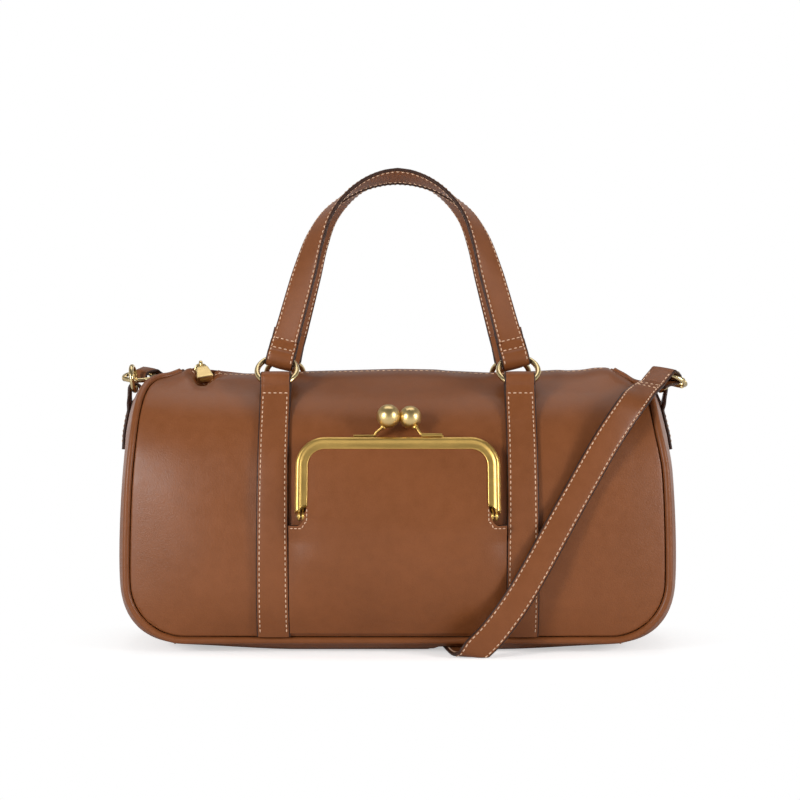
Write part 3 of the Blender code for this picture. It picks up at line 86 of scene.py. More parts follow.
# Sizes of the scene's own shapes, fitted to the photo
SEAM_X = 0.152
SEAM_LIFT = 0.0070
CORNER_RADIUS = 0.033
GUSSET_BULGE = 0.0110
BASE_HALF_LENGTH = 0.1275
SIDE_SEAM_SHARES = (
    (1.000, 1.00, 0.40), (0.993, 0.99, 0.61), (0.984, 0.93, 0.74), (0.976, 0.77, 0.86),
    (0.967, 0.60, 0.925), (0.949, 0.42, 0.968), (0.912, 0.26, 0.990),
)
MIDDLE_SHARES = (
    (0.93, 0.16), (0.99, 0.31), (1.00, 0.45), (0.97, 0.60),
    (0.89, 0.73), (0.77, 0.83), (0.58, 0.915), (0.34, 0.970),
)
STITCH_PITCH = 0.0030
REAR_LEAF = 0.0016
BODY_STRAP_WIDTHS = (0.0186, 0.0173)
HANDLE_WIDTH = 0.0161
HANDLE_TILT = math.radians(13.4)
FRAME_HEIGHT = 0.2643 * BODY_HEIGHT - 0.0011
FRAME_CORNER = 0.0128
BALLS = {"front": (0.0069, 0.0064), "back": (0.0052, 0.0066)}
BALL_RISE = 0.0556

X_AXIS, Y_AXIS, Z_AXIS = np.eye(3)
FRONT = np.array((1.0, 1.0, 1.0))
BACK = np.array((1.0, -1.0, 1.0))
LEFT = np.array((-1.0, 1.0, 1.0))
SIDES = (("front", FRONT), ("back", BACK))
HANDS = (("right", FRONT), ("left", LEFT))
FULL_TURN = 2 * math.pi
WHITE = (1.0, 1.0, 1.0)


# Curves and vectors


def mm(*rows):
    """Millimetres as metres."""
    return np.array(rows, float) / 1000


def unit(vectors):
    vectors = np.asarray(vectors, float)
    return vectors / np.linalg.norm(vectors, axis=-1, keepdims=True)


def along(points, places, wanted):
    """Each column of the points, given at places, at the wanted places."""
    return np.stack([np.interp(wanted, places, column) for column in points.T], axis=-1)


def lengths_of(points):
    steps = np.linalg.norm(np.diff(points[:, :3], axis=0), axis=1)
    return np.concatenate([[0.0], np.cumsum(steps)])


def at_lengths(points, wanted):
    return along(points, lengths_of(points), wanted)


def evenly(points, count):
    return at_lengths(points, np.linspace(0.0, lengths_of(points)[-1], count))


def between(t, first, last, a, b):
    return ((last - t) * a + (t - first) * b) / (last - first)


def fine_curve(points, steps=24):
    """A centripetal Catmull-Rom curve through the points, as a fine polyline."""
    given = np.asarray(points, float)
    given = np.vstack([2 * given[0] - given[1], given, 2 * given[-1] - given[-2]])
    gaps = np.linalg.norm(np.diff(given, axis=0), axis=1)
    knots = np.concatenate([[0.0], np.cumsum(gaps**0.5)])
    fine = []
    for i in range(len(given) - 3):
        k, p = knots[i : i + 4], given[i : i + 4]
        t = np.linspace(k[1], k[2], steps, endpoint=False)[:, None]
        near = [between(t, k[j], k[j + 1], p[j], p[j + 1]) for j in range(3)]
        wide = [between(t, k[j], k[j + 2], near[j], near[j + 1]) for j in range(2)]
        fine.append(between(t, k[1], k[2], *wide))
    return np.vstack([*fine, given[-2]])


def smooth(points, count):
    return evenly(fine_curve(points), count)


def softened(values, reach, **padding):
    """The values averaged with their neighbours up to the reach."""
    weights = np.hanning(2 * reach + 3)[1:-1]
    return np.convolve(np.pad(values, reach, **padding), weights / weights.sum(), "valid")


def ease(value):
    value = np.clip(value, 0.0, 1.0)
    return value * value * (3 - 2 * value)


def bump(value, centre, half):
    """A smooth hump of height 1 at the centre that ends a half width away."""
    return np.clip(1 - ((value - centre) / half) ** 2, 0.0, 1.0) ** 2


def hill(value, centre, half):
    return np.exp(-(((value - centre) / half) ** 2))


def tangents_of(centres, closed=False):
    if closed:
        ring = np.vstack([centres[-1], centres, centres[0]])
        return unit(ring[2:] - ring[:-2])
    return unit(np.gradient(centres, axis=0))


def stations(centres, guides, closed=False):
    """The side vectors at each centre, as close to the guides as they can be, and the out vectors."""
    tangents = tangents_of(centres, closed)
    sides = unit(guides - tangents * (guides * tangents).sum(axis=1, keepdims=True))
    return sides, np.cross(tangents, sides)


# Meshes as (points, faces)


def grid_faces(rows, columns, offset=0, wrap=False):
    across = np.arange(columns if wrap else columns - 1)
    r, c = np.meshgrid(np.arange(rows - 1), across, indexing="ij")
    a = (r * columns + c).ravel() + offset
    b = (r * columns + (c + 1) % columns).ravel() + offset
    return np.stack([a, b, b + columns, a + columns], axis=1)


def outward(points, faces):
    """The faces turned so that the closed shape's normals point out."""
    corners = [points[faces[:, k]] for k in range(faces.shape[1])]
    pairs = zip(corners[1:], corners[2:])
    volume = sum((corners[0] * np.cross(b, c)).sum() for b, c in pairs)
    return faces if volume > 0 else faces[:, ::-1]


def shell(outer, inner):
    """The closed shell between two grids of points."""
    rows, columns = outer.shape[:2]
    count = rows * columns
    points = np.concatenate([outer.reshape(-1, 3), inner.reshape(-1, 3)])
    index = np.arange(count).reshape(rows, columns)
    rim = np.concatenate([index[0], index[1:, -1], index[-1, -2::-1], index[-2:0:-1, 0]])
    after = np.roll(rim, -1)
    edge = np.stack([after, rim, rim + count, after + count], axis=1)
    faces = [grid_faces(rows, columns), grid_faces(rows, columns, count)[:, ::-1], edge]
    return points, outward(points, np.concatenate(faces))


def tube(rings, ends=None):
    """Rings of points joined in a row: capped about two end points, capped flat, or closed."""
    rows, count = rings.shape[:2]
    points = rings.reshape(-1, 3)
    if ends is None:
        return points, outward(points, grid_faces(rows + 1, count, wrap=True) % len(points))
    walls = grid_faces(rows, count, wrap=True)
    turned = outward(points, walls) is not walls
    k, last = np.arange(count), (rows - 1) * count
    caps = [k[::-1], last + k]
    if len(ends):
        after, tip = (k + 1) % count, np.full(count, len(points))
        caps = [*np.stack([tip, after, k], 1), *np.stack([tip + 1, last + k, last + after], 1)]
        points = np.vstack([points, ends])
    return points, [(face[::-1] if turned else face).tolist() for face in [*walls, *caps]]


def sweep(centres, guides, sections, closed=False):
    """Sections of (side, out) offsets carried along the centres."""
    sides, outs = stations(centres, guides, closed)
    sections = np.broadcast_to(sections, (len(centres),) + np.shape(sections)[-2:])
    offsets = sections[..., :1] * sides[:, None] + sections[..., 1:] * outs[:, None]
    return tube(centres[:, None] + offsets, None if closed else centres[[0, -1]])


def round_section(radius, sides):
    angles = FULL_TURN * (np.arange(sides) + 0.5) / sides
    return radius * np.stack([np.cos(angles), np.sin(angles)], axis=1)


def rounded_section(w, t, r, steps=5):
    """A rectangle of half sizes w and t, its corners rounded by r."""
    angles = np.linspace(0, math.pi / 2, steps)
    corner = np.stack([w - r + r * np.cos(angles), t - r + r * np.sin(angles)], axis=1)
    return np.concatenate([corner, corner[::-1] * (-1, 1), -corner, corner[::-1] * (1, -1)])


def slab(centres, guides, width, thickness, soften=0.0004):
    """A bar of rounded rectangular section; width and thickness may change along it."""
    halves = np.broadcast_arrays(width, thickness, centres[:, 0])[:2]
    sections = [
        rounded_section(w, t, min(soften, w * 0.9, t * 0.9)) for w, t in zip(*np.divide(halves, 2))
    ]
    return sweep(centres, guides, np.array(sections))


def circle(centre, first, second, radius, steps, start=0.0, span=FULL_TURN, closed=True):
    count = steps if closed else steps + 1
    angles = (start + span * np.arange(count) / steps)[:, None]
    return centre + radius * (np.cos(angles) * first + np.sin(angles) * second)


def lathe(centre, axis, profile, steps):
    """A turned form: (radius, length) pairs about an axis."""
    first = unit(np.cross(Z_AXIS if abs(axis[2]) < 0.9 else X_AXIS, axis))
    ways = circle(0.0, first, np.cross(axis, first), 1.0, steps)
    rings = np.array([centre + axis * z + ways * r for r, z in profile])
    return tube(rings, [centre + axis * profile[k][1] for k in (0, -1)])


def rounded_box(low, high, radius):
    """A box with one round step on each edge and corner."""
    centre, half = np.add(high, low) / 2, np.subtract(high, low) / 2
    core = half - radius
    slope, edge = np.array((-1, 0, 0, 1)), np.array((-1, -1, 1, 1))
    points, faces = [], []
    for axis in range(3):
        u, v = (axis + 1) % 3, (axis + 2) % 3
        for sign in (-1, 1):
            grid, way = np.zeros((4, 4, 3)), np.zeros((4, 4, 3))
            way[..., axis], way[..., u], way[..., v] = sign, slope[:, None], slope
            grid[..., axis] = sign * core[axis]
            grid[..., u], grid[..., v] = edge[:, None] * core[u], edge * core[v]
            quads = grid_faces(4, 4, 16 * len(points))
            points.append((grid + unit(way) * radius).reshape(-1, 3) + centre)
            faces.append(quads if sign > 0 else quads[:, ::-1])
    return np.concatenate(points), np.concatenate(faces)


def merged(parts):
    """Several (points, faces) as one."""
    faces, start = [], 0
    for points, part in parts:
        faces += [tuple(int(i) + start for i in face) for face in part]
        start += len(points)
    return np.concatenate([points for points, _ in parts]), faces


# Objects


def linked(name, data):
    obj = bpy.data.objects.new(name, data)
    bpy.context.scene.collection.objects.link(obj)
    return obj


def shaded(mesh):
    mesh.shade_smooth()
    mesh.set_sharp_from_angle(angle=math.radians(50))


def add_piece(name, shape, skins, body=None, node=None, skin_ids=None):
    """A piece on its body, or one with no body, in place of a node where it has one."""
    mesh = bpy.data.meshes.new(name)
    mesh.from_pydata(shape[0].tolist(), [], [tuple(face) for face in shape[1]])
    for skin in skins:
        mesh.materials.append(skin)
    if skin_ids is not None:
        mesh.polygons.foreach_set("material_index", np.asarray(skin_ids, np.int32))
    shaded(mesh)
    mesh.update()
    obj = linked(name, mesh)
    if body:
        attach(obj, body)
    if node:
        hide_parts(node)
    return obj


def add_brass(name, parts, body, node, skins, skin_ids=None):
    return add_piece(f"{name}_brass", merged(parts), skins, body, node, skin_ids)


# Materials


class Tree:
    """A short way to wire nodes: inputs in their order or by name, as sockets or as values."""

    def __init__(self, owner, clear=True):
        owner.use_nodes = True
        self.owner, self.tree = owner, owner.node_tree
        if clear:
            self.tree.nodes.clear()

    def put(self, socket, value):
        if isinstance(value, bpy.types.NodeSocket):
            self.tree.links.new(value, socket)
        else:
            socket.default_value = value

    def add(self, kind, *placed, **named):
        """A node; a name in lower case is one of its settings."""
        node = self.tree.nodes.new("ShaderNode" + kind)
        for key, value in named.items():
            if key.islower():
                setattr(node, key, value)
            else:
                self.put(node.inputs[key.replace("_", " ")], value)
        for socket, value in zip(node.inputs, placed):
            self.put(socket, value)
        return node

    def shader_of(self, kind, *placed):
        return self.add(kind, *placed).outputs[0]

    def maths(self, operation, first, second):
        return self.add("Math", first, second, operation=operation).outputs[0]

    def range(self, *values):
        """The value from low..high to to_low..to_high, in this order."""
        return self.add("MapRange", *values).outputs["Result"]


class Skin(Tree):
    """A material's nodes about its Principled shader, in object coordinates."""

    def __init__(self, name):
        super().__init__(bpy.data.materials.new(name), clear=False)
        self.shader = self.tree.nodes["Principled BSDF"]
        self.coords = self.add("TexCoord").outputs["Object"]

    def stretched(self, scale):
        return self.add("Mapping", Vector=self.coords, Scale=scale).outputs["Vector"]

    def noise(self, scale, detail=3.0, rough=0.5, where=None, distortion=0.0):
        shape = {"Scale": scale, "Detail": detail, "Roughness": rough, "Distortion": distortion}
        return self.add("TexNoise", Vector=where or self.coords, **shape).outputs["Fac"]

    def wave(self, direction, scale, distortion, where):
        shape = {"Scale": scale, "Distortion": distortion, "bands_direction": direction}
        return self.add("TexWave", Vector=where, **shape).outputs["Fac"]

    def ramp(self, factor, *stops):
        node = self.add("ValToRGB", factor)
        elements = node.color_ramp.elements
        while len(elements) < len(stops):
            elements.new(0.5)
        for element, (place, colour) in zip(elements, stops):
            element.position = place
            element.color = (*colour, 1.0)
        return node.outputs["Color"]

    def dyed(self, factor, colour, *stops):
        """The colour at a share of its strength at each place on the factor."""
        shades = [(place, [c * share for c in colour]) for place, share in stops]
        return self.ramp(factor, *shades)

    def darkened(self, base, factor, low, tint, high, share):
        """The base times a ramp on the factor, from the tint up to white."""
        node = self.add("Mix", share, data_type="RGBA", blend_type="MULTIPLY")
        self.put(node.inputs[6], base)
        self.put(node.inputs[7], self.ramp(factor, (low, tint), (high, WHITE)))
        return node.outputs[2]

    def bump(self, *heights):
        """Height maps of (socket, strength, distance), the coarsest first."""
        normal = None
        for height, strength, distance in heights:
            node = self.add("Bump", Height=height, Strength=strength, Distance=distance)
            if normal is not None:
                self.put(node.inputs["Normal"], normal)
            normal = node.outputs["Normal"]
        self.put(self.shader.inputs["Normal"], normal)

    def finish(self, colour, roughness, **values):
        values = {"Base Color": colour, "Roughness": roughness, **values}
        for key, value in values.items():
            self.put(self.shader.inputs[key.replace("_", " ")], value)
        return self.owner


def leather_skin(name, colour, grain=1500.0, rough=(0.33, 0.44), depth=1.0):
    """Smooth full-grain leather: cloudy dye, fine pores and faint creases."""
    n = Skin(name)
    cloud = n.noise(16.0, 3.0, 0.55, distortion=0.4)
    fine = n.noise(150.0, 4.0, 0.6)
    cells = n.add("TexVoronoi", Vector=n.coords, Scale=grain, feature="SMOOTH_F1")
    pores = cells.outputs["Distance"]
    creases = n.noise(340.0, 5.0, 0.65, distortion=0.8)
    base = n.dyed(cloud, colour, (0.30, 0.93), (0.52, 1.0), (0.74, 1.07))
    base = n.darkened(base, fine, 0.30, (0.90, 0.89, 0.87), 0.62, 0.75)
    base = n.darkened(base, pores, 0.10, (0.86, 0.84, 0.82), 0.42, 0.55)
    n.bump(
        (n.noise(38.0, 2.0), 0.06 * depth, 0.004),
        (creases, 0.10 * depth, 0.0006),
        (pores, 0.14 * depth, 0.0004),
    )
    return n.finish(base, n.range(fine, 0.25, 0.75, *rough), Specular_IOR_Level=0.30)


def paint_skin(name, colour):
    """The dark edge paint along cut leather."""
    n = Skin(name)
    base = n.dyed(n.noise(420.0), colour, (0.3, 0.75), (0.7, 1.4))
    n.bump((n.noise(900.0), 0.25, 0.0003))
    rough = n.range(n.noise(160.0), 0.3, 0.7, 0.34, 0.50)
    return n.finish(base, rough, Specular_IOR_Level=0.22)


def thread_skin(name, colour):
    """Waxed sewing thread, its twist as fine slanted ribs, with painted shade in the grooves between
    them.
    """
    n = Skin(name)
    twist = n.wave("DIAGONAL", 900.0, 1.2, n.stretched((1.0, 1.0, 0.8)))
    base = n.dyed(n.noise(260.0, 2.0), colour, (0.3, 0.80), (0.7, 1.10))
    # painted shade: the thread is darkened in the twist's grooves, where the ribs are bumped low
    base = n.darkened(base, twist, 0.2, (0.72, 0.68, 0.62), 0.6, 0.5)
    n.bump((twist, 0.35, 0.0002))
    return n.finish(base, 0.62, Sheen_Weight=0.15)


def brass_skin(name, colour, rough, brush=(30.0, 420.0, 420.0), strength=0.10):
    """Pale brass: brushed in one direction, with a slight warm patina."""
    n = Skin(name)
    strokes = n.noise(1.0, 4.0, 0.6, n.stretched(brush))
    patina = n.noise(60.0, 4.0, 0.6)
    base = n.dyed(patina, colour, (0.28, 0.86), (0.55, 1.0), (0.78, 1.08))
    n.bump((strokes, strength, 0.0004), (n.noise(900.0, 2.0), strength * 0.4, 0.0002))
    return n.finish(base, n.range(strokes, 0.3, 0.7, *rough), Metallic=1.0)


def woven_skin(name, colour, pitch, depth, rough):
    """A woven cloth from two crossed waves, with painted shade in the hollows between the yarns."""
    n = Skin(name)
    warp, weft = (n.wave(way, 0.5 / pitch, 0.6, n.coords) for way in ("X", "Z"))
    both = n.maths("MULTIPLY", warp, weft)
    fuzz = n.noise(220.0, 4.0)
    base = n.dyed(fuzz, colour, (0.3, 0.8), (0.7, 1.15))
    # painted shade: the cloth is darkened where the crossed waves are low, in the hollows between the
    # yarns
    base = n.darkened(base, both, 0.0, (0.62, 0.60, 0.58), 0.5, 0.8)
    n.bump((both, depth, 0.0004))
    return n.finish(base, n.range(fuzz, 0.2, 0.8, *rough), Sheen_Weight=0.25)


def board_skin(name, colour):
    """Grey fibreboard."""
    n = Skin(name)
    base = n.dyed(n.noise(300.0, 5.0), colour, (0.3, 0.75), (0.7, 1.2))
    n.bump((n.noise(700.0), 0.4, 0.0004))
    return n.finish(base, n.range(n.noise(90.0), 0.3, 0.7, 0.75, 0.92))


BROWN = (0.206, 0.066, 0.0198)
SADDLE = leather_skin("saddle_leather", BROWN)
STRAP_SKIN = leather_skin("strap_leather", BROWN, 1700.0, (0.34, 0.46), 0.8)
INSIDE = leather_skin("inside_leather", (0.16, 0.062, 0.030), 1100.0, (0.55, 0.7), 1.2)
EDGE = paint_skin("edge_paint", (0.040, 0.018, 0.012))
THREAD = thread_skin("waxed_thread", (0.72, 0.47, 0.31))
BRASS = brass_skin("satin_brass", (0.71, 0.46, 0.135), (0.32, 0.44))
RING_SKIN = brass_skin("ring_brass", (0.68, 0.53, 0.28), (0.20, 0.30), (300.0,) * 3, 0.05)
BALL_SKIN = brass_skin("ball_brass", (0.76, 0.56, 0.25), (0.30, 0.38), (200.0,) * 3, 0.04)
TEETH_SKIN = brass_skin("teeth_brass", (0.66, 0.46, 0.18), (0.26, 0.38), (300.0,) * 3, 0.12)
TAPE = woven_skin("zip_tape", (0.075, 0.036, 0.022), 0.0007, 0.5, (0.75, 0.9))
CLOTH = woven_skin("lining_cloth", (0.33, 0.22, 0.13), 0.0009, 0.45, (0.7, 0.88))
BOARD = board_skin("fibre_board", (0.30, 0.27, 0.23))


# Camera, backdrop, floor and lights

AMBIENT = 0.26
GLOSS_FRONT = 0.32
GLOSS_ABOVE = 0.18
FLOOR_GLOW = 0.48
FLOOR_REACH = 3.0
SHADOW_REACH = (0.165, 0.135)


def make_camera():
    camera = bpy.data.cameras.new("camera")
    camera.sensor_width = 36.0
    camera.lens = 72.35
    camera.shift_x = 2.3 / 800
    camera.shift_y = 10.0 / 800
    camera.clip_start = 0.01
    obj = linked("camera", camera)
    obj.location = (0.0, -0.955, 0.136)
    obj.rotation_euler = (math.radians(90), 0.0, 0.0)
    bpy.context.scene.camera = obj


def make_world():
    """White where the camera sees the backdrop, a soft studio for light and reflections."""
    n = Tree(bpy.data.worlds.new("studio"))
    path = n.add("LightPath").outputs
    way = n.add("SeparateXYZ", n.add("TexCoord").outputs["Generated"]).outputs
    ahead = n.range(way["Y"], -0.9, 0.5, GLOSS_FRONT, 1.0)
    above = n.range(way["Z"], 0.15, 0.75, 1.0, GLOSS_ABOVE)
    strengths = (AMBIENT, n.maths("MULTIPLY", ahead, above), 1.0)
    plain, mirror, seen = (n.shader_of("Background", (*WHITE, 1.0), s) for s in strengths)
    bounced = n.maths("MAXIMUM", path["Is Glossy Ray"], path["Is Transmission Ray"])
    unseen = n.shader_of("MixShader", bounced, plain, mirror)
    n.add("OutputWorld", n.shader_of("MixShader", path["Is Camera Ray"], unseen, seen))
    bpy.context.scene.world = n.owner


def make_floor():
    """A white floor that keeps the shadow near the object and meets the backdrop further out."""
    n = Tree(bpy.data.materials.new("floor_white"))
    stretch = (1 / SHADOW_REACH[0], 1 / SHADOW_REACH[1], 0.0)
    place = n.add("TexCoord").outputs["Object"]
    place = n.add("VectorMath", place, stretch, operation="MULTIPLY").outputs[0]
    distance = n.add("VectorMath", place, operation="LENGTH").outputs["Value"]
    lit = n.shader_of("BsdfDiffuse", (0.9, 0.9, 0.9, 1.0))
    glow, white = (n.shader_of("Emission", (*WHITE, 1.0), s) for s in (FLOOR_GLOW, 1.0))
    near = n.shader_of("AddShader", lit, glow)
    seen = n.shader_of("MixShader", n.range(distance, 0.72, 1.25, 0.0, 1.0), near, white)
    path = n.add("LightPath").outputs["Is Camera Ray"]
    n.add("OutputMaterial", n.shader_of("MixShader", path, lit, seen))
    mesh = bpy.data.meshes.new("floor")
    corners = np.array([(-1, -1, 0), (1, -1, 0), (1, 1, 0), (-1, 1, 0)]) * FLOOR_REACH
    mesh.from_pydata(corners.tolist(), [], [(0, 1, 2, 3)])
    mesh.materials.append(n.owner)
    linked("floor", mesh)


def make_lamp(name, place, target, size, power):
    light = bpy.data.lights.new(name, "AREA")
    light.shape = "RECTANGLE"
    light.size, light.size_y = size
    light.energy = power
    obj = linked(name, light)
    obj.location = place
    way = np.subtract(target, place)
    turn = math.atan2(way[1], way[0]) - math.pi / 2
    obj.rotation_euler = (math.acos(-unit(way)[2]), 0.0, turn)


make_camera()
make_world()
make_floor()
make_lamp("left_softbox", (-0.82, -0.88, 0.34), (0.0, 0.0, 0.10), (0.26, 0.50), 9.3)
make_lamp("right_softbox", (0.95, -0.65, 0.34), (0.0, 0.0, 0.10), (0.26, 0.50), 6.9)
make_lamp("top_softbox", (0.0, 0.15, 1.10), (0.0, 0.0, 0.12), (0.9, 0.6), 3.0)


# Body surfaces, for whole grids at once


def corner_arc(start, stop, steps):
    angles = np.linspace(start, stop, steps)
    xs = SEAM_X + CORNER_RADIUS * (np.cos(angles) - 1)
    zs = SEAM_LIFT + CORNER_RADIUS * (np.sin(angles) + 1)
    return np.stack([xs, np.full(steps, -SEAM_HALF_DEPTH), zs], axis=1)


SEAM_FOOT = (0.0, -SEAM_HALF_DEPTH, SEAM_LIFT)
ZIP_CORNER = (ZIP_HALF_LENGTH, -1.5 * ZIP_HALF_GAP, BODY_HEIGHT)
SIDE_RISE = np.array(SIDE_SEAM_SHARES) * (SEAM_X, -SEAM_HALF_DEPTH, BODY_HEIGHT)
SIDE_SEAM = smooth(np.vstack([corner_arc(-CORNER_SPLIT, 0.0, 6), SIDE_RISE, ZIP_CORNER]), 160)
MIDDLE_RISE = [(0.0, -CROWN_DEPTH * depth, BODY_HEIGHT * height) for depth, height in MIDDLE_SHARES]
MIDDLE = smooth(np.vstack([SEAM_FOOT, MIDDLE_RISE, (0.0, -ZIP_HALF_GAP, BODY_HEIGHT)]), 160)
HALF_SEAM = np.vstack([SEAM_FOOT, corner_arc(-math.pi / 2, -CORNER_SPLIT, 24)[:-1], SIDE_SEAM])
SEAM_LENGTHS = lengths_of(HALF_SEAM)
SEAM_LENGTH = SEAM_LENGTHS[-1]
SEAM_POINTS = evenly(HALF_SEAM, 500)
SMALL_STEP = SEAM_LENGTH / 1000


def rows_of(points, v):
    return along(points, np.arange(len(points)), np.clip(v, 0.0, 1.0) * (len(points) - 1))


def seam_at(runs):
    """Points of the seam round a panel, at lengths from the middle of its foot."""
    points = along(HALF_SEAM, SEAM_LENGTHS, np.abs(runs))
    points[..., 0] *= np.where(runs < 0, -1.0, 1.0)
    return points


def sag(x, z):
    """How far the soft leather stands off the drawn surface, in metres."""
    level = np.sin(21 * x + 31 * z + 0.6) * np.sin(17 * x - 24 * z + 1.9)
    level = level + 0.5 * np.sin(43 * x - 13 * z + 2.2) * np.sin(39 * z + 11 * x)
    inner = np.clip((0.132 - np.abs(x)) / 0.05, 0, 1)
    inner = inner * np.clip((0.15 - z) / 0.03, 0, 1) * np.clip((z - 0.02) / 0.03, 0, 1)
    clasp = 1 - 0.8 * np.clip(1 - (np.abs(x) / 0.085) ** 4, 0, 1)
    return 0.0014 * level * inner * clasp


def panel(u, v):
    """The front panel's face: u runs across from -1 to 1, v up from the foot to the zip."""
    u, v = np.broadcast_arrays(np.asarray(u, float), np.asarray(v, float))
    side, middle = rows_of(SIDE_SEAM, v), rows_of(MIDDLE, v)
    crown = 1 - np.abs(u) ** 3
    over = np.clip(np.abs(u) * SIDE_SEAM[0][0] - (SEAM_X - CORNER_RADIUS), 0.0, CORNER_RADIUS)
    rise = CORNER_RADIUS - np.sqrt(CORNER_RADIUS**2 - over**2)
    level = 1 - np.minimum(rise / (SIDE_SEAM[0][2] - SEAM_LIFT), 1.0)
    lift = level + (crown - level) * ease(v / BOTTOM_BLEND_SHARE)
    y = side[..., 1] + (middle[..., 1] - side[..., 1]) * crown
    z = side[..., 2] + (middle[..., 2] - side[..., 2]) * lift
    return np.stack([u * side[..., 0], y, z], axis=-1)


def panel_normal(u, v):
    step = 0.004
    across = panel(np.minimum(u + step, 1), v) - panel(np.maximum(u - step, -1), v)
    up = panel(u, np.minimum(v + step, 1)) - panel(u, np.maximum(v - step, 0))
    return unit(np.cross(across, up))


def dressed_panel(u, v, lift=0.0):
    """A point on the sagging panel, lifted off it along its normal."""
    point = panel(u, v)
    return point + panel_normal(u, v) * (lift + sag(point[..., 0], point[..., 2]))[..., None]


# Millimetres across and of rise along the zip's front edge; the back has none under the pull tab
RIM = mm(
    (-155, 0), (-137.5, 0), (-134.7, -0.3), (-130.7, 0.8), (-126, 2.4), (-123.6, 4), (-121.3, 4.5),
    (-119.2, 3.6), (-118, 0.8), (-116.8, -1), (-110, -1), (-108.8, 1), (-107.1, 3.6),
    (-104.8, 3.1), (-102.4, 1.4), (-97.7, 0.8), (-85.9, 0.6), (-70, 1), (-53, 2), (0, 3.4),
    (22.6, 3), (29.7, 2.3), (53, 1.2), (80, 2), (94.5, 2.8), (100, 2.4), (108.7, 2.8), (115.7, 4),
    (122.8, 4.2), (125.2, 3.7), (127.5, 2.4), (130, 1.2), (132.2, 0.4), (134.6, -0.6), (137, -2),
    (139.5, -3), (143, -2.8), (149, -1), (153, 0),
)
UNDER_TAB = (-0.1215, -0.0900)
TAB_X = -0.1127
RIM_XS = np.linspace(-0.16, 0.16, 321)
RIM_LIFTS = softened(np.interp(RIM_XS, *RIM.T), 2, mode="edge")


def settle(points):
    """The uneven rise of the soft top edge along the zip, the dent under the tab, a slack corner."""
    points = np.array(points, float)
    x, depth, z = points[..., 0], -points[..., 1], points[..., 2]
    apart = (RIM_XS < UNDER_TAB[0]) | (RIM_XS > UNDER_TAB[1])
    rear = np.interp(x, RIM_XS[apart], RIM_LIFTS[apart])
    lift = np.where(depth > 0, np.interp(x, RIM_XS, RIM_LIFTS), rear)
    dent = 0.0065 * hill(depth, 0.0145, 0.0060) + 0.0016 * hill(depth, 0.0260, 0.0080)
    dent = dent * hill(x, TAB_X, 0.0078)
    shrink = 0.0024 * ease((x - 0.118) / 0.030) * ease((z - 0.100) / 0.035)
    rise = (lift - dent) * ease((z - 0.1475) / 0.0085) - dent * 0.25
    return points + np.stack([-shrink, 0 * rise, rise], axis=-1)


def clear_of_seam(points, inset, batch=2000):
    """The points moved away from the nearest seam, where they are closer to it than their inset."""
    flat = points.reshape(-1, 3)
    insets = np.broadcast_to(inset, points.shape[:-1]).reshape(-1)
    result = flat.copy()
    turn = np.where(flat * (1, -1, 0) < 0, -1.0, 1.0)
    for start in range(0, len(flat), batch):
        part = slice(start, start + batch)
        away = (flat[part] * turn[part])[:, None, :] - SEAM_POINTS[None]
        gaps = np.linalg.norm(away, axis=2)
        near = gaps.argmin(axis=1)
        k = np.arange(len(near))
        gap = gaps[k, near]
        moved = SEAM_POINTS[near] + away[k, near] * (insets[part] / gap)[:, None]
        close = (gap < insets[part])[:, None]
        result[part] = np.where(close, moved * turn[part], flat[part])
    return result.reshape(points.shape)


# How a leather edge turns in beside the piping: inset and depth, from the outermost step inward
TUCKS = mm((3.6, 0.0), (3.0, 0.06), (2.6, 0.25), (2.3, 0.65), (2.15, 1.2), (2.15, 2.3))
TUCK_STEPS = np.arange(len(TUCKS) - 1, 0, -1)
TOP_ROLL = mm((0.25, 0.10), (0.55, 0.45), (0.65, 1.0), (0.50, 1.6), (0.2, 1.9))


def across_tucks(columns):
    """Shares from -1 to 1, repeated for the tucks at both ends, and the tuck at each."""
    tuck = np.concatenate([TUCK_STEPS, np.zeros(columns, int), TUCK_STEPS[::-1]])
    return np.pad(np.linspace(-1, 1, columns), len(TUCK_STEPS), "edge"), tuck


def spread_of(surface, *place):
    """How many metres of the surface one unit across spans at its edge."""
    run, step = place
    return np.linalg.norm(surface(run, 1.0) - surface(run, 1 - step), axis=-1) / step


def leather_faces(flat, normal, puff, inset, depth):
    """The outer and inner faces of a sheet that puffs out and is tucked in along its seams."""
    outer = clear_of_seam(flat + normal * puff[..., None], inset) - normal * depth[..., None]
    inner = clear_of_seam(flat, inset) - normal * np.maximum(depth + 0.0001, LEATHER)[..., None]
    return outer, inner


def panel_shell(columns=121, rows=90):
    """The panel's two faces, its edges tucked in beside the piping and its top edge rolled."""
    at, column_tuck = across_tucks(columns)
    row_tuck = np.concatenate([TUCK_STEPS, np.zeros(rows, int)])
    at, up = np.meshgrid(at, np.pad(np.linspace(0.0, 1.0, rows), (len(TUCK_STEPS), 0)))
    inset, depth = np.moveaxis(TUCKS[np.maximum(row_tuck[:, None], column_tuck)], -1, 0)
    climb = np.linalg.norm(panel(at, 0.01) - panel(at, 0.0), axis=-1) / 0.01
    low = TUCKS[row_tuck, :1] / climb
    v = low + (1 - low) * up
    u = at * (1 - TUCKS[column_tuck, 0] / spread_of(lambda v, u: panel(u, v), v, 0.01))
    flat, normal = panel(u, v), panel_normal(u, v)
    outer, inner = leather_faces(flat, normal, sag(flat[..., 0], flat[..., 2]), inset, depth)
    forward = unit(outer[-1] - outer[-2])
    rolls = [outer[-1] + forward * reach - normal[-1] * down for reach, down in TOP_ROLL]
    under = inner[-1:] - normal[-1] * 0.00001
    under = under.repeat(len(rolls), axis=0)
    return np.concatenate([outer, rolls]), np.concatenate([inner, under])


def seam_normal(runs):
    after = seam_at(np.minimum(runs + SMALL_STEP, SEAM_LENGTH))
    before = seam_at(np.maximum(runs - SMALL_STEP, -SEAM_LENGTH))
    tangent = unit((after - before)[..., [0, 2]])
    return np.stack([tangent[..., 1], -tangent[..., 0]], axis=-1)


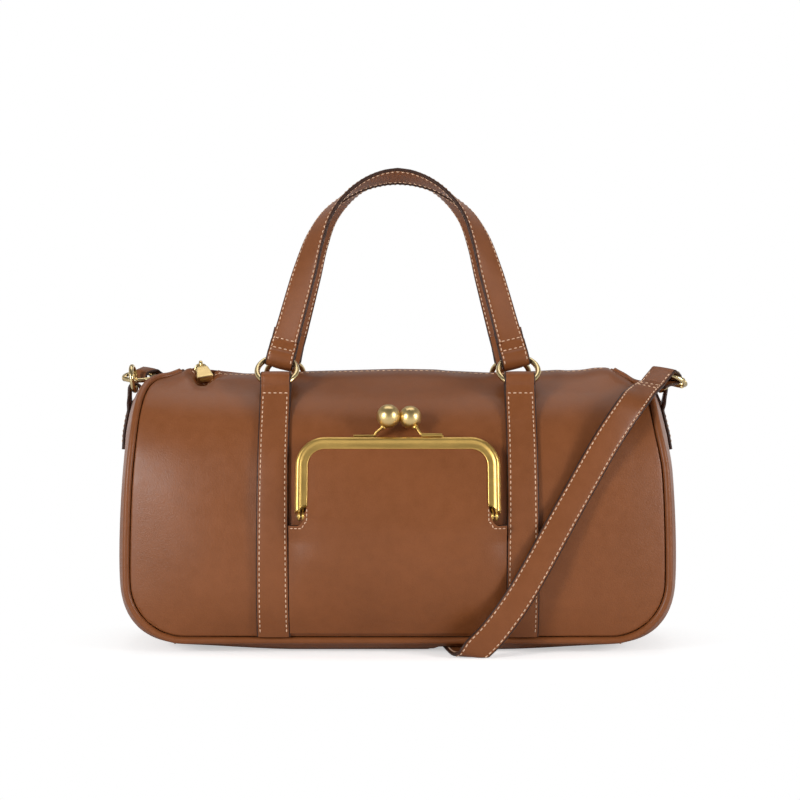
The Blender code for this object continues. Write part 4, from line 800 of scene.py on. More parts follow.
def gusset(run, t, floor=0.0):
    """The strip between the two seams: t is -1 at the front seam and 1 at the back."""
    run, t = np.broadcast_arrays(np.asarray(run, float), np.asarray(t, float))
    seam, normal = seam_at(run), seam_normal(run)
    down, up = np.maximum(0.0, -normal[..., 1]), np.maximum(0.0, normal[..., 1])
    bulge = GUSSET_BULGE + (1.10 * SEAM_LIFT - GUSSET_BULGE) * down**2
    bulge = bulge + (GUSSET_TOP_BULGE - GUSSET_BULGE) * up
    depth = np.abs(seam[..., 1]) / (GUSSET_TAPER_SHARE * SEAM_HALF_DEPTH)
    swell = bulge * np.minimum(1.0, depth) * (1 - np.abs(t) ** (2.0 + 6.0 * down**2))
    x = seam[..., 0] + normal[..., 0] * swell
    upturn = 0.0030 * ease((np.abs(x) - 0.055) / 0.078) * down**4
    z = np.maximum(seam[..., 2] + normal[..., 1] * swell + upturn, floor)
    return np.stack([x, -t * seam[..., 1], z], axis=-1)


def gusset_normal(run, t, floor=0.0):
    step, reach = 0.02, 4 * SMALL_STEP
    right, left = np.minimum(t + step, 1), np.maximum(t - step, -1)
    across = gusset(run, right, floor) - gusset(run, left, floor)
    ahead = gusset(np.minimum(run + reach, SEAM_LENGTH), t, floor)
    behind = gusset(np.maximum(run - reach, -SEAM_LENGTH), t, floor)
    return unit(np.cross(across, ahead - behind))


def gusset_shell(rows=110, columns=41):
    at, tuck = across_tucks(columns)
    runs = np.linspace(BASE_HALF_LENGTH + CLEARANCE, SEAM_LENGTH - 0.003, rows)
    at, run = np.meshgrid(at, runs)
    inset, depth = TUCKS[tuck].T
    t = at * (1 - inset / spread_of(lambda run, t: gusset(run, t, GUSSET_STEP), run, 0.02))
    flat, normal = gusset(run, t, GUSSET_STEP), gusset_normal(run, t, GUSSET_STEP)
    wave = 0.0004 * np.sin(60 * flat[..., 2] + 1.0) * np.sin(50 * flat[..., 1] + 0.4)
    return leather_faces(flat, normal, wave * (1 - t**2), inset, depth)


def base_shell(columns=31, rows=161):
    """The base band with the groove that the shoulder strap lies in, its end edges rounded."""
    half_groove = SHOULDER_WIDTH / 2 / math.cos(math.atan(GROOVE_SLOPE_SHARE)) + 4 * CLEARANCE
    runs = np.linspace(-BASE_HALF_LENGTH, BASE_HALF_LENGTH, rows)
    edge = mm(0.0, 0.12, 0.4)
    runs = np.concatenate([runs[0] + edge, runs[1:-1], runs[-1] - edge[::-1]])
    from_end = np.minimum(runs - runs[0], runs[-1] - runs)
    soften = 0.0006 * np.clip(1 - from_end / 0.0007, 0, 1) ** 2
    t, run = np.meshgrid(np.linspace(-1, 1, columns), runs)
    t = t * (1 - 0.0024 / spread_of(gusset, run, 0.02))
    slope = GROOVE_SLOPE_SHARE * bump(run, GROOVE_SHIFT, GROOVE_REACH)
    over = half_groove + GROOVE_RAMP - np.abs(run - GROOVE_SHIFT)
    lift = GROOVE_DEPTH * np.clip(over / GROOVE_RAMP, 0, 1)
    point = gusset(run - slope * t * SEAM_HALF_DEPTH, t, lift)
    normal = seam_normal(runs)
    inward = np.stack([-normal[:, 0], 0 * runs, -normal[:, 1]], axis=-1)[:, None, :]
    return point + inward * soften[:, None, None], point + inward * LEATHER


# Body pieces


def stitch_row(path, outs, pitch=STITCH_PITCH, length=0.0021, radius=0.00034, ends=0.0012):
    """A row of stitches along a line, each a short arched thread."""
    sides = 7
    steps = np.array((-0.5, -0.36, -0.14, 0.14, 0.36, 0.5))
    girths = radius * np.array((0.35, 0.86, 1.0, 1.0, 0.86, 0.35))
    total = lengths_of(path)[-1]
    count = max(int(round((total - 2 * ends) / pitch)), 1)
    start = (total - pitch * (count - 1)) / 2
    wanted = (start + pitch * np.arange(count))[:, None] + steps * length
    rows = at_lengths(np.hstack([path, outs]), wanted.ravel()).reshape(count, len(steps), 6)
    centres, out = rows[..., :3], unit(rows[..., 3:])
    side = unit(np.cross(unit(centres[:, -1] - centres[:, 0])[:, None, :], out))
    arch = (0.5 - (2 * steps) ** 2 * 1.1) * radius
    centres = centres + out * arch[:, None]
    angles = (FULL_TURN * np.arange(sides) / sides)[:, None]
    ways = np.cos(angles) * side[:, :, None, :] + np.sin(angles) * out[:, :, None, :]
    points = centres[:, :, None, :] + ways * girths[:, None, None]
    one = grid_faces(len(steps), sides, wrap=True)[:, ::-1].tolist()
    one += [range(sides), range(len(steps) * sides - 1, (len(steps) - 1) * sides - 1, -1)]
    each = len(steps) * sides
    faces = [[i + each * n for i in face] for n in range(count) for face in one]
    return points.reshape(-1, 3), faces


def add_threads(name, rows, body):
    return add_piece(name, merged(rows), [THREAD], body)


def make_body():
    outer, inner = panel_shell()
    for side, flip in SIDES:
        name = f"{side}_panel"
        walls = shell(settle(outer * flip), settle(inner * flip))
        add_piece(f"{name}_leather", walls, [SADDLE], "bag", name)
        seam = settle(seam_at(np.linspace(-SEAM_LENGTH, SEAM_LENGTH, 420)) * flip)
        cord = sweep(seam, Y_AXIS, round_section(PIPING_RADIUS, 16))
        add_piece(f"{side}_piping_leather", cord, [SADDLE], "bag", f"{side}_piping")
        u, v = np.meshgrid(np.linspace(-0.955, 0.955, 60), np.linspace(0.03, 0.86, 50))
        lining, normal = panel(u, v), panel_normal(u, v)
        ripple = 0.0003 * np.sin(90 * lining[..., 0] + 40 * lining[..., 2])
        lining = clear_of_seam(lining, 0.0062)
        depths = (0.0032, 0.0040)
        sheet = [(lining - normal * (depth + ripple)[..., None]) * flip for depth in depths]
        node = f"{side}_lining"
        add_piece(f"{node}_cloth", shell(*sheet), [CLOTH], "bag", node)
        u = np.linspace(-0.93, 0.93, 300)
        line = settle(dressed_panel(u, np.full_like(u, 0.974)) * flip)
        outs = panel_normal(u, np.full_like(u, 0.968)) * flip
        row = stitch_row(line, outs, 0.0032, 0.0022, 0.00028)
        add_threads(f"{side}_top_stitching", [row], "bag")
    outer, inner = gusset_shell()
    for hand, flip in HANDS:
        name = f"{hand}_gusset"
        walls = shell(settle(outer * flip), settle(inner * flip))
        add_piece(f"{name}_leather", walls, [SADDLE], "bag", name)
    add_piece("base_band_leather", shell(*base_shell()), [SADDLE], "bag", "base_panel")
    rows = []
    for sign in (-1, 1):
        t = np.linspace(-0.93, 0.93, 60)
        run = np.full_like(t, sign * (BASE_HALF_LENGTH - 0.0022))
        rows.append(stitch_row(gusset(run, t), gusset_normal(run, t), 0.0034, 0.0023, 0.00036))
    add_threads("base_stitching", rows, "bag")


make_body()


# Straps with painted edges and stitching


def strap_section(width, thickness):
    """Sections of a crowned strap at each width and thickness, and which faces are edge paint."""
    w, t = width[:, None] / 2, thickness[:, None] / 2
    scale = np.minimum(t / (STRAP_THICKNESS / 2), 1.0)
    inside = mm(0.30, 0.75, 1.20, 1.55, 1.90, 2.70)
    height = mm(-0.30, -0.06, -0.02, -0.15, -0.02, 0.07)
    right = np.concatenate([w - inside * scale, w * 0.45, 0 * w], axis=1)
    top = np.concatenate([t + height * scale, t + 0.00016 * scale, t + 0.0002 * scale], axis=1)
    side = np.concatenate([w, w + 0.00008, w], axis=1)
    level = np.concatenate([t - 0.0007 * scale, 0 * t, 0.0007 * scale - t], axis=1)
    xs = [right[:, ::-1], side, right, -right[:, -2::-1], -side, -right[:, :-1]]
    ys = [top[:, ::-1], level, -top, -top[:, -2::-1], -level, top[:, :-1]]
    sections = np.stack([np.concatenate(xs, axis=1), np.concatenate(ys, axis=1)], axis=-1)
    reach = np.abs(sections[0, :, 0])
    painted = np.minimum(reach, np.roll(reach, -1)) > (w - 0.0008 * scale)[0]
    return sections, painted


def strap(centres, guides, width, thickness, seam, faces_sewn=(1, -1), inset=0.00155, ends=0.0012):
    """A strap's shape, skins (0 leather, 1 paint) and stitch rows between two lengths along it."""
    width, thickness = np.broadcast_arrays(width, thickness, centres[:, 0])[:2]
    sections, painted = strap_section(width, thickness)
    shape = sweep(centres, guides, sections)
    skins = np.concatenate([np.tile(painted, len(centres) - 1), np.ones(2 * len(painted))])
    sides, outs = stations(centres, guides)
    lengths = lengths_of(centres)
    inside = (lengths >= seam[0]) & (lengths <= seam[1])
    rows = []
    for edge in (-1, 1):
        for face in faces_sewn:
            across = sides * (edge * (width / 2 - inset))[:, None]
            line = centres + across + outs * (face * (thickness / 2 - 0.0001))[:, None]
            rows.append(stitch_row(line[inside], outs[inside] * face, ends=ends))
    return shape, skins, rows


def cross_row(centres, guides, width, length, face):
    """Stitches across a strap at a length along it."""
    sides, outs = stations(centres, guides)
    spot = at_lengths(np.hstack([centres, sides, outs * face]), [length])
    centre, side, out = spot.reshape(3, 3)
    shares = np.linspace(-1, 1, 12)[:, None]
    line = centre + side * shares * (width / 2 - 0.0014) + out * (STRAP_THICKNESS / 2 + 0.0001)
    return stitch_row(line, np.broadcast_to(out, line.shape), 0.0031, ends=0.0)


def add_strap(name, made, rows, body, node, turn=FRONT):
    """A strap with its stitches, mirrored by the turn."""
    shape, skins, seams = made
    stitches = seams + rows
    skins = np.concatenate([skins, np.full(sum(len(faces) for _, faces in stitches), 2)])
    points, faces = merged([shape, *stitches])
    if np.prod(turn) < 0:
        faces = [face[::-1] for face in faces]
    shape = (points * turn, faces)
    return add_piece(name, shape, [STRAP_SKIN, EDGE, THREAD], body, node, skins)


RING_UP = np.array((0.0, math.sin(RING_LEAN), math.cos(RING_LEAN)))
RING_CENTRE = np.array((STRAP_X, -0.493 * CROWN_DEPTH, BODY_HEIGHT + 0.0015))
RING_LOW = RING_CENTRE - RING_RADIUS * RING_UP
RING_HIGH = RING_CENTRE + RING_RADIUS * RING_UP
BODY_STRAP_TURNS = (
    (95, 3.3), (75, 3.75), (60, 4.4), (40, 5.6), (20, 6.3), (-12, 6.45), (-45, 6.35), (-65, 5.6),
    (-90, 4.3), (-115, 3.4),
)
HANDLE_LOOP = (
    (50, 5.8), (70, 6.35), (92, 6.45), (115, 6.45), (135, 6.35), (160, 5.5), (180, 4.2),
    (220, 3.2), (270, 2.8), (320, 3.2),
)
HANDLE_PATH = mm(
    (63.1, 182.5), (59.0, 198.0), (54.1, 216.3), (47.9, 237.0), (40.8, 251.3), (30.3, 262.2),
    (19.2, 269.2), (8.2, 272.9), (0.0, 273.9),
)
# The height in metres and the handle's turn about its length in degrees
HANDLE_TURNS = (
    (0.170, 10.0), (0.185, 20.0), (0.200, 23.0), (0.216, 28.0), (0.237, 47.0), (0.2513, 67.0),
    (0.262, 86.0), (0.2695, 99.0), (0.2739, 110.0),
)


def about(wire, turns):
    """Points round a wire: (degrees from straight up toward the front, millimetres)."""
    angles, reach = np.array(turns, float).T
    angles = np.radians(angles)
    return wire + np.stack([0 * angles, -np.sin(angles), np.cos(angles)], 1) * mm(*reach)[:, None]


def panel_u(x, v):
    """The share of the panel's width at which its point has this x."""
    return x / rows_of(SIDE_SEAM, v)[..., 0]


def leaf_thickness(rear):
    """The strap's thickness, thinner where it is the rear leaf of a fold."""
    thick = np.where(rear, REAR_LEAF, STRAP_THICKNESS)
    return np.convolve(np.pad(thick, 6, "edge"), np.ones(13) / 13, "valid")


def make_body_straps():
    v = np.linspace(0.02, 0.69, 60)
    u = panel_u(STRAP_X, v)
    path = dressed_panel(u, v, STRAP_THICKNESS / 2 + 0.00015)
    path[:, 0] = STRAP_X
    across = unit(panel(u + 0.02, v) - panel(u - 0.02, v))
    leaf = (STRAP_X, -0.0470, 0.1435)
    rear = [(STRAP_X, -0.0445, 0.1424), (STRAP_X, -0.0467, 0.1378)]
    fold = np.vstack([path[-6::5], leaf, about(RING_LOW, BODY_STRAP_TURNS), rear])
    fold = fine_curve(fold, 8)[8:]
    centres = np.vstack([path, fold])
    guides = np.vstack([across, np.tile(X_AXIS, (len(fold), 1))])
    lengths = lengths_of(centres)
    wide, narrow = BODY_STRAP_WIDTHS
    width = wide - (wide - narrow) * ease(lengths / lengths[len(path)])
    top = np.argmax(centres[:, 2])
    thick = leaf_thickness(np.arange(len(centres)) > top)
    row = float(np.interp(0.1452, centres[:top, 2], lengths[:top]))
    made = strap(centres, guides, width, thick, (0.001, row), (-1,), 0.0019)
    rows = [cross_row(centres, guides, 0.0168, row, -1)]
    for side, flip in SIDES:
        for hand, mirror in HANDS:
            node = f"{side}_{hand}_strap"
            add_strap(f"{node}_leather", made, rows, "bag", node, flip * mirror)


def tilted(points):
    """Handle-end points turned round the ring's centre, as the handle leans to the middle."""
    x, y, z = (points - RING_CENTRE).T
    c, s = math.cos(HANDLE_TILT), math.sin(HANDLE_TILT)
    return np.stack([x * c - z * s, y, x * s + z * c], axis=1) + RING_CENTRE


def make_handles():
    """Each handle's width lies along X at the rings and turns to lie along Y at the top."""
    first = about(RING_HIGH, [(9, 10.0)])
    x, z = HANDLE_PATH.T
    climb = (z - first[0, 2]) / (z[-1] - first[0, 2])
    y = first[0, 1] + (-HANDLE_GAP_HALF - first[0, 1]) * climb
    half = smooth(np.vstack([tilted(first), np.stack([x, y, z], axis=1)]), 120)
    arch = np.vstack([half, half[-2::-1] * LEFT])
    tangents = tangents_of(arch)
    turn = np.interp(half[:, 2], *zip(*HANDLE_TURNS))
    turn = softened(turn, 9, mode="reflect", reflect_type="odd")
    turn = np.radians(np.concatenate([turn, turn[-2::-1]]))[:, None]
    inward = unit(np.stack([-tangents[:, 2], 0 * turn[:, 0], tangents[:, 0]], axis=1))
    guides = np.cos(turn) * inward - np.sin(turn) * Y_AXIS
    rear = RING_HIGH + mm((0.0, 1.0, 8.5), (0.0, 1.5, 16.5))
    loop = [half[4], half[0], tilted(about(RING_HIGH, HANDLE_LOOP)), tilted(rear)]
    start = fine_curve(np.vstack(loop), 8)[:8:-1]
    centres = np.vstack([start, arch, start[::-1] * LEFT])
    level = np.array((-math.cos(HANDLE_TILT), 0.0, -math.sin(HANDLE_TILT)))
    ends = np.tile(level, (len(start), 1))
    guides = np.vstack([ends, guides, ends * LEFT])
    lengths = lengths_of(centres)
    lowest = int(np.argmin(centres[: len(start), 2]))
    steps = np.arange(len(centres))
    thick = leaf_thickness((steps < lowest) | (steps > len(centres) - 1 - lowest))
    leg = slice(lowest, len(start) + 60)
    low, high = np.interp((0.1706, 0.1764), centres[leg, 2], lengths[leg])
    total, seam_start = lengths[-1], lengths[lowest] + 0.0035
    made = strap(centres, guides, HANDLE_WIDTH, thick, (seam_start, total - seam_start))
    places = (low, high, total - low, total - high)
    rows = [cross_row(centres, guides, HANDLE_WIDTH, length, 1) for length in places]
    for side, flip in SIDES:
        node = f"{side}_handle"
        add_strap(f"{node}_leather", made, rows, node, node, flip)


def add_ring(name, centre, across, up, radius, wire, steps, body):
    centres = circle(centre, across, up, radius, steps)
    ring = sweep(centres, np.cross(across, up), round_section(wire, 20), True)
    add_brass(name, [ring], body, name, [RING_SKIN])


def make_rings():
    for side, flip in SIDES:
        for hand, mirror in HANDS:
            turn = flip * mirror
            place = (RING_CENTRE * turn, X_AXIS, RING_UP * turn)
            body = f"{side}_ring_{hand}"
            add_ring(f"{side}_{hand}_ring", *place, RING_RADIUS, RING_WIRE, 96, body)


make_body_straps()
make_handles()
make_rings()


# Kiss-lock frame, its clasps and the pocket's leather


def middle_y(z):
    return float(np.interp(z, MIDDLE[:, 2], MIDDLE[:, 1]))


FRAME_FOOT = np.array((0.0, middle_y(FRAME_HINGE_Z), FRAME_HINGE_Z))
FRAME_RUN = middle_y(FRAME_HINGE_Z + FRAME_HEIGHT) - FRAME_FOOT[1]
FRAME_UP = unit((0.0, FRAME_RUN, FRAME_HEIGHT))
FRAME_OUT = np.array((0.0, -FRAME_UP[2], FRAME_UP[1]))
BACK_OUT = FRAME_STANDOFF + BACK_BAR_DEPTH / 2
FRONT_OUT = FRAME_STANDOFF + BACK_BAR_DEPTH + CLEARANCE + FRONT_BAR_DEPTH / 2
HINGE_OUT = (BACK_OUT + FRONT_OUT) / 2
FRAME_HALVES = {
    "front": ("purse_front", FRONT_OUT, FRONT_BAR_DEPTH),
    "back": ("bag", BACK_OUT, BACK_BAR_DEPTH),
}
# The bar's face: millimetres behind its front and outward across it, a rim along the outer edge
BAR_FACE = mm(
    (1.7, -3.38), (1.1, -3.24), (0.6, -2.95), (0.25, -2.55), (0.06, -2.1), (0.0, -1.6),
    (0.02, -1.1), (0.12, -0.6), (0.28, -0.15), (0.42, 0.25), (0.5, 0.7), (0.5, 1.9), (0.5, 2.7),
    (0.52, 3.25), (0.65, 3.38), (0.9, 3.4),
)
COLLAR = mm((1.1, -0.9), (1.65, -0.6), (1.75, 0.0), (1.6, 0.6), (1.2, 1.6))
PIN = mm(
    (0.7, -2.35), (1.25, -2.2), (1.3, -1.9), (0.9, -1.7),
    (0.9, 1.7), (1.3, 1.9), (1.25, 2.2), (0.7, 2.35),
)


def frame_point(x, rise, out):
    x, rise, out = (part[..., None] for part in np.broadcast_arrays(x, rise, out))
    return FRAME_FOOT + x * X_AXIS + rise * FRAME_UP + out * FRAME_OUT


def bar_section(depth, ridge):
    """The bar's cross-section: (toward the body, inward)."""
    d, b = depth / 2, FRAME_BAR / 2
    face = BAR_FACE - (d, 0.0)
    face[4:7, 0] -= ridge
    foot = [(d, 0.0006 - b), (d - 0.0003, -b), (-0.1 * d, -b)]
    return np.vstack([foot, face, [(d - 0.0004, b), (d, b - 0.0005)]])


def frame_bar(out, depth, ridge):
    """The inverted U of one frame half, its feet cut at a slant."""
    corner_x, corner_rise = FRAME_HALF_WIDTH - FRAME_CORNER, FRAME_HEIGHT - FRAME_CORNER
    angles = np.linspace(0.0, math.pi / 2, 22)
    legs = np.linspace(0.0030, corner_rise, 12)[:-1]
    top = np.linspace(corner_x, 0.0, 14)[1:]
    x = np.concatenate([0 * legs + FRAME_HALF_WIDTH, corner_x + FRAME_CORNER * np.cos(angles), top])
    bend = corner_rise + FRAME_CORNER * np.sin(angles)
    rise = np.concatenate([legs, bend, 0 * top + FRAME_HEIGHT])
    centres = frame_point(np.append(x, -x[-2::-1]), np.append(rise, rise[-2::-1]), out)
    section = bar_section(depth, ridge)
    points, faces = sweep(centres, -FRAME_OUT, section)
    slant = (0.0012 + section[:, 1:] * 0.75) * FRAME_UP
    points[: len(section)] += slant
    points[-2 - len(section) : -2] += slant
    points[-2:] += 0.0012 * FRAME_UP
    return points, faces


def make_frame():
    eye_gap = (0.0020 + CLEARANCE) / 2
    for side, shift, ridge in (("back", -eye_gap, 0.0), ("front", eye_gap, 0.00015)):
        body, out, depth = FRAME_HALVES[side]
        parts = [frame_bar(out, depth, ridge)]
        for sign in (-1, 1):
            x = sign * (FRAME_HALF_WIDTH + shift)
            eye = circle(frame_point(x, 0.0, HINGE_OUT), FRAME_UP, FRAME_OUT, 0.0020, 32)
            parts.append(sweep(eye, X_AXIS, round_section(0.00075, 12), True))
            neck = frame_point(x, mm(1.9, 4.0, 8.5), (HINGE_OUT * 0.7 + out * 0.3, out, out))
            parts.append(slab(neck, FRAME_OUT, [0.0015, 0.0020, depth * 0.8], 0.0014))
        name = f"purse_{side}_frame"
        add_brass(name, parts, body, name, [BRASS])


def make_clasps():
    """A plate, a stem, a collar and a ball on each frame half; the front one also has a lug."""
    top = FRAME_HEIGHT + FRAME_BAR / 2
    taper, share = np.linspace(1.0, 0.86, 12), np.linspace(0, 1, 26)
    for side, sign, thick, lift in (("front", 1, 0.0020, 0.0), ("back", -1, 0.0012, 0.0007)):
        body, out, depth = FRAME_HALVES[side]
        ball_x, radius = BALLS[side]
        ball_out = HINGE_OUT - sign * BALL_STAGGER / 2
        half_out = (out + ball_out) / 2
        plate = frame_point(sign * np.linspace(0.0130, 0.0246, 12), top + thick / 2 + lift, out)
        parts = [slab(plate, FRAME_OUT, 0.9 * depth * taper, thick * taper, 0.0005)]
        if side == "front":
            lug = frame_point(sign * mm(24.3, 25.3), top + 0.0002, out)
            parts.append(slab(lug, FRAME_OUT, 0.0026, 0.0012))
        xs = np.append(mm(15.0, 13.2, 11.7), (ball_x + 0.0031, ball_x + 0.0014))
        rises = np.append(top + mm(1.1, 1.4, 3.3), BALL_RISE - radius * np.array((0.86, 0.50)))
        outs = (out, out, out * 0.7 + half_out * 0.3, half_out, ball_out)
        stem = smooth(frame_point(sign * xs, rises, outs), 26)
        parts.append(slab(stem, FRAME_OUT, 0.0034 - 0.0008 * share, 0.0014, 0.0005))
        ball = frame_point(sign * ball_x, BALL_RISE, ball_out)
        neck_out = half_out * 0.5 + ball_out * 0.5
        collar = frame_point(sign * (ball_x + 0.0029), BALL_RISE - radius * 0.88, neck_out)
        parts.append(lathe(collar, unit(ball - collar), COLLAR, 24))
        angles = np.linspace(-math.pi / 2 + 0.04, math.pi / 2 - 0.04, 33)
        count = sum(len(faces) for _, faces in parts)
        profile = radius * np.stack([np.cos(angles), np.sin(angles)], axis=1)
        parts.append(lathe(ball, FRAME_UP, profile, 56))
        skins = np.repeat((0, 1), (count, len(parts[-1][1])))
        name = f"purse_{side}_clasp"
        add_brass(name, parts, body, name, [BRASS, BALL_SKIN], skins)


def make_pins():
    """A slender hinge pin through the two eyes on each side, with domed ends."""
    for hand, sign in (("left", -1), ("right", 1)):
        centre = frame_point(sign * (FRAME_HALF_WIDTH + 0.0002), 0.0, HINGE_OUT)
        name = f"purse_{hand}_rivet"
        add_brass(name, [lathe(centre, X_AXIS, PIN, 24)], "bag", name, [RING_SKIN])


POCKET_HALF = STRAP_X - 0.0092
POCKET_LOW = 0.0125
EAR_X = 0.0512
EAR_Z = 0.0714
EAR_RISE = 0.0062
LEAF_COLUMNS = 81


def pocket_point(x, height, lift=0.0):
    """The pocket's face: over the panel below the frame, in the frame's plane above its hinge."""
    x, height = np.broadcast_arrays(x, height)
    v = np.interp(height, MIDDLE[:, 2], np.linspace(0, 1, len(MIDDLE)))
    u = panel_u(x, v)
    across = np.clip(np.abs(x) / POCKET_HALF, 0, 1)
    rise = 0.0062 * (1 - across**6) * ease((height - 0.012) / 0.045) + 0.0022
    low = panel(u, v) + panel_normal(u, v) * (rise + lift)[..., None]
    level = (height - FRAME_HINGE_Z) / FRAME_UP[2]
    soft = 0.0011 * np.clip(1 - (x / 0.049) ** 4, 0, 1) * bump(level, 0.016, 0.026)
    high = frame_point(x, level, FRONT_OUT + 0.00075 + soft + lift)
    share = ease((height - 0.062) / 0.018)[..., None]
    return low * (1 - share) + high * share


def thickened(obj, thickness):
    """The object's sheet made solid inward: its third skin inside, its second on the rim."""
    solid = obj.modifiers.new("thickness", "SOLIDIFY")
    solid.thickness, solid.offset = thickness, -1.0
    solid.material_offset, solid.material_offset_rim = 2, 1
    bpy.context.view_layer.update()
    evaluated = obj.evaluated_get(bpy.context.evaluated_depsgraph_get())
    mesh = bpy.data.meshes.new_from_object(evaluated)
    obj.modifiers.clear()
    obj.data = mesh
    shaded(mesh)


def make_pocket():
    """The fixed pocket below the frame and the leaf inside it, one sheet that bends at the hinge."""
    middle = np.linspace(-EAR_X, EAR_X, LEAF_COLUMNS)
    ear = np.linspace(0, 1, 15)[1:] ** 1.4 * (POCKET_HALF - EAR_X) + EAR_X
    over = np.clip((ear - EAR_X) / 0.0042, 0, 1)
    ear_top = EAR_Z + EAR_RISE * (1 - np.sqrt(1 - (1 - over) ** 2))
    xs = np.concatenate([-ear[::-1], middle, ear])
    leaf_foot = EAR_Z + EAR_RISE
    tops = np.concatenate([ear_top[::-1], 0 * middle + leaf_foot, ear_top])
    rows, count = 46, len(xs)
    height = POCKET_LOW + (tops - POCKET_LOW) * np.linspace(0, 1, rows)[:, None]
    under = pocket_point(xs, height)
    leaf_top = FRAME_HINGE_Z + (FRAME_HEIGHT - FRAME_BAR / 2 + 0.0008) * FRAME_UP[2]
    up = np.linspace(leaf_foot, leaf_top, 30)[1:]
    inset = np.clip((up - 0.0768) / 0.004, 0, 1) * 0.0012
    gx, gh = np.meshgrid(middle, up)
    leaf = pocket_point(gx * (1 - inset / EAR_X)[:, None], gh)
    start = rows * count
    seam = np.arange(LEAF_COLUMNS - 1)
    first, second = seam + start - count + len(ear), seam + start
    join = np.stack([first, first + 1, second + 1, second], axis=1)
    faces = [grid_faces(rows, count), join, grid_faces(len(up), LEAF_COLUMNS, start)]
    shape = np.concatenate([under.reshape(-1, 3), leaf.reshape(-1, 3)]), np.concatenate(faces)
    obj = add_piece("pocket_leather", shape, [SADDLE, EDGE, INSIDE])
    thickened(obj, 0.0015)
    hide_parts("pocket_panel", "purse_front_leaf")
    quarter = np.linspace(0.4, 1.0, 6) * math.pi / 2
    climb = np.linspace(0.1, 1.0, 6) * math.pi / 2
    bend_x = EAR_X - 0.0013 + 0.0034 * np.cos(quarter)
    bend_z = 0.0034 * np.sin(climb) ** 2 - 0.0013
    x = np.concatenate([np.linspace(0.0598, 0.0545, 6), bend_x, np.full(6, EAR_X - 0.0014)])
    z = EAR_Z + np.concatenate([np.full(6, -0.0013), bend_z, np.linspace(0.0040, 0.0095, 6)])
    rows = []
    for sign in (-1, 1):
        outs = unit(pocket_point(sign * x, z, 0.001) - pocket_point(sign * x, z))
        line = pocket_point(sign * x, z, 0.00005)
        rows.append(stitch_row(line, outs, 0.0024, 0.0017, 0.0003, 0.0))
    for piece in (obj, add_threads("pocket_stitching", rows, None)):
        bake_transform(piece)


make_frame()
make_clasps()
make_pins()
make_pocket()


# Zip: teeth, tapes, slider and pull tab

TAPE_TOP = BODY_HEIGHT - LEATHER - 0.0015
TAPE_REACH = ZIP_HALF_LENGTH + 0.0085
TAPE_THICKNESS = 0.0007
TEETH_LOW = TAPE_TOP + CLEARANCE
TEETH_TOP = TEETH_LOW + 0.0018
TEETH_HALF_LENGTH = ZIP_HALF_LENGTH - 0.006
TEETH_PITCH = 0.0024
SLIDER_X = 0.0112 - ZIP_HALF_LENGTH
SLIDER_HALF = 0.0050
SLIDER_PLATE = 0.0012
SLIDER_OUTLINE = mm(
    (-5.0, 5.8), (-4.6, 7.0), (-3.0, 8.2), (0.0, 7.4), (3.0, 8.4), (4.6, 8.6), (5.0, 7.8)
)
BRIDGE_WIRE = 0.0008
BRIDGE_HEIGHT = 0.0062
BRIDGE_SHAPE = ((-1, 0), (-0.97, 0.45), (-0.86, 0.78), (-0.55, 0.97), (0, 1))
TAB_DROOP = math.radians(38)
TAB_LEAN = 0.27
TAB_CORNER = 0.0007
# The tab's distance from the arch, width and thickness
TAB_OUTLINE = mm(
    (2.1, 3.0, 2.0), (2.8, 5.2, 2.6), (4.2, 7.0, 3.0), (7.5, 8.2, 3.5), (11.0, 9.2, 4.0),
    (13.8, 9.9, 4.4), (14.6, 9.9, 4.4),
)
# The tab's end: the share of its last section and the depth past it, down into the slot
TAB_END = (
    ((0.93, 0.93), 0.4), ((0.86, 0.86), 0.45), ((0.60, 0.42), 0.45),
    ((0.564, 0.3948), -0.4), ((0.54, 0.378), -0.9),
)


def make_zip():
    count = int(2 * TEETH_HALF_LENGTH / TEETH_PITCH) - 1
    for side, sign, shift in (("front", -1, 0.0), ("back", 1, 0.5)):
        parts = []
        for i in range(count):
            x = TEETH_PITCH * (i + shift - (count - 0.5) / 2)
            ys = sorted((sign * 0.0029, -sign * 0.0008))
            low = (x - 0.00055, ys[0], TEETH_LOW + 0.00005)
            parts.append(rounded_box(low, (x + 0.00055, ys[1], TEETH_TOP - 0.0001), 0.00035))
        add_brass(f"{side}_zip_teeth", parts, "bag", f"{side}_zip_teeth", [TEETH_SKIN])
        gx, share = np.meshgrid(np.linspace(-TAPE_REACH, TAPE_REACH, 121), np.linspace(0, 1, 9))
        over = np.abs(gx) - TEETH_HALF_LENGTH
        past = ease((over - 0.0022) / 0.0016)
        gy = sign * (0.0016 - 0.0012 * past + (0.0072 + 0.0012 * past) * share)
        ripple = 0.00008 * np.sin(gx * 5200) * (np.abs(gy) > 0.003)
        drop = 0.0050 * ease((over - 0.004) / 0.010)
        top = np.stack([gx, gy, TAPE_TOP - drop + ripple], axis=-1)
        node = f"{side}_zip_tape"
        sheet = shell(top, top - TAPE_THICKNESS * Z_AXIS)
        add_piece(f"{node}_cloth", sheet, [TAPE], "bag", node)


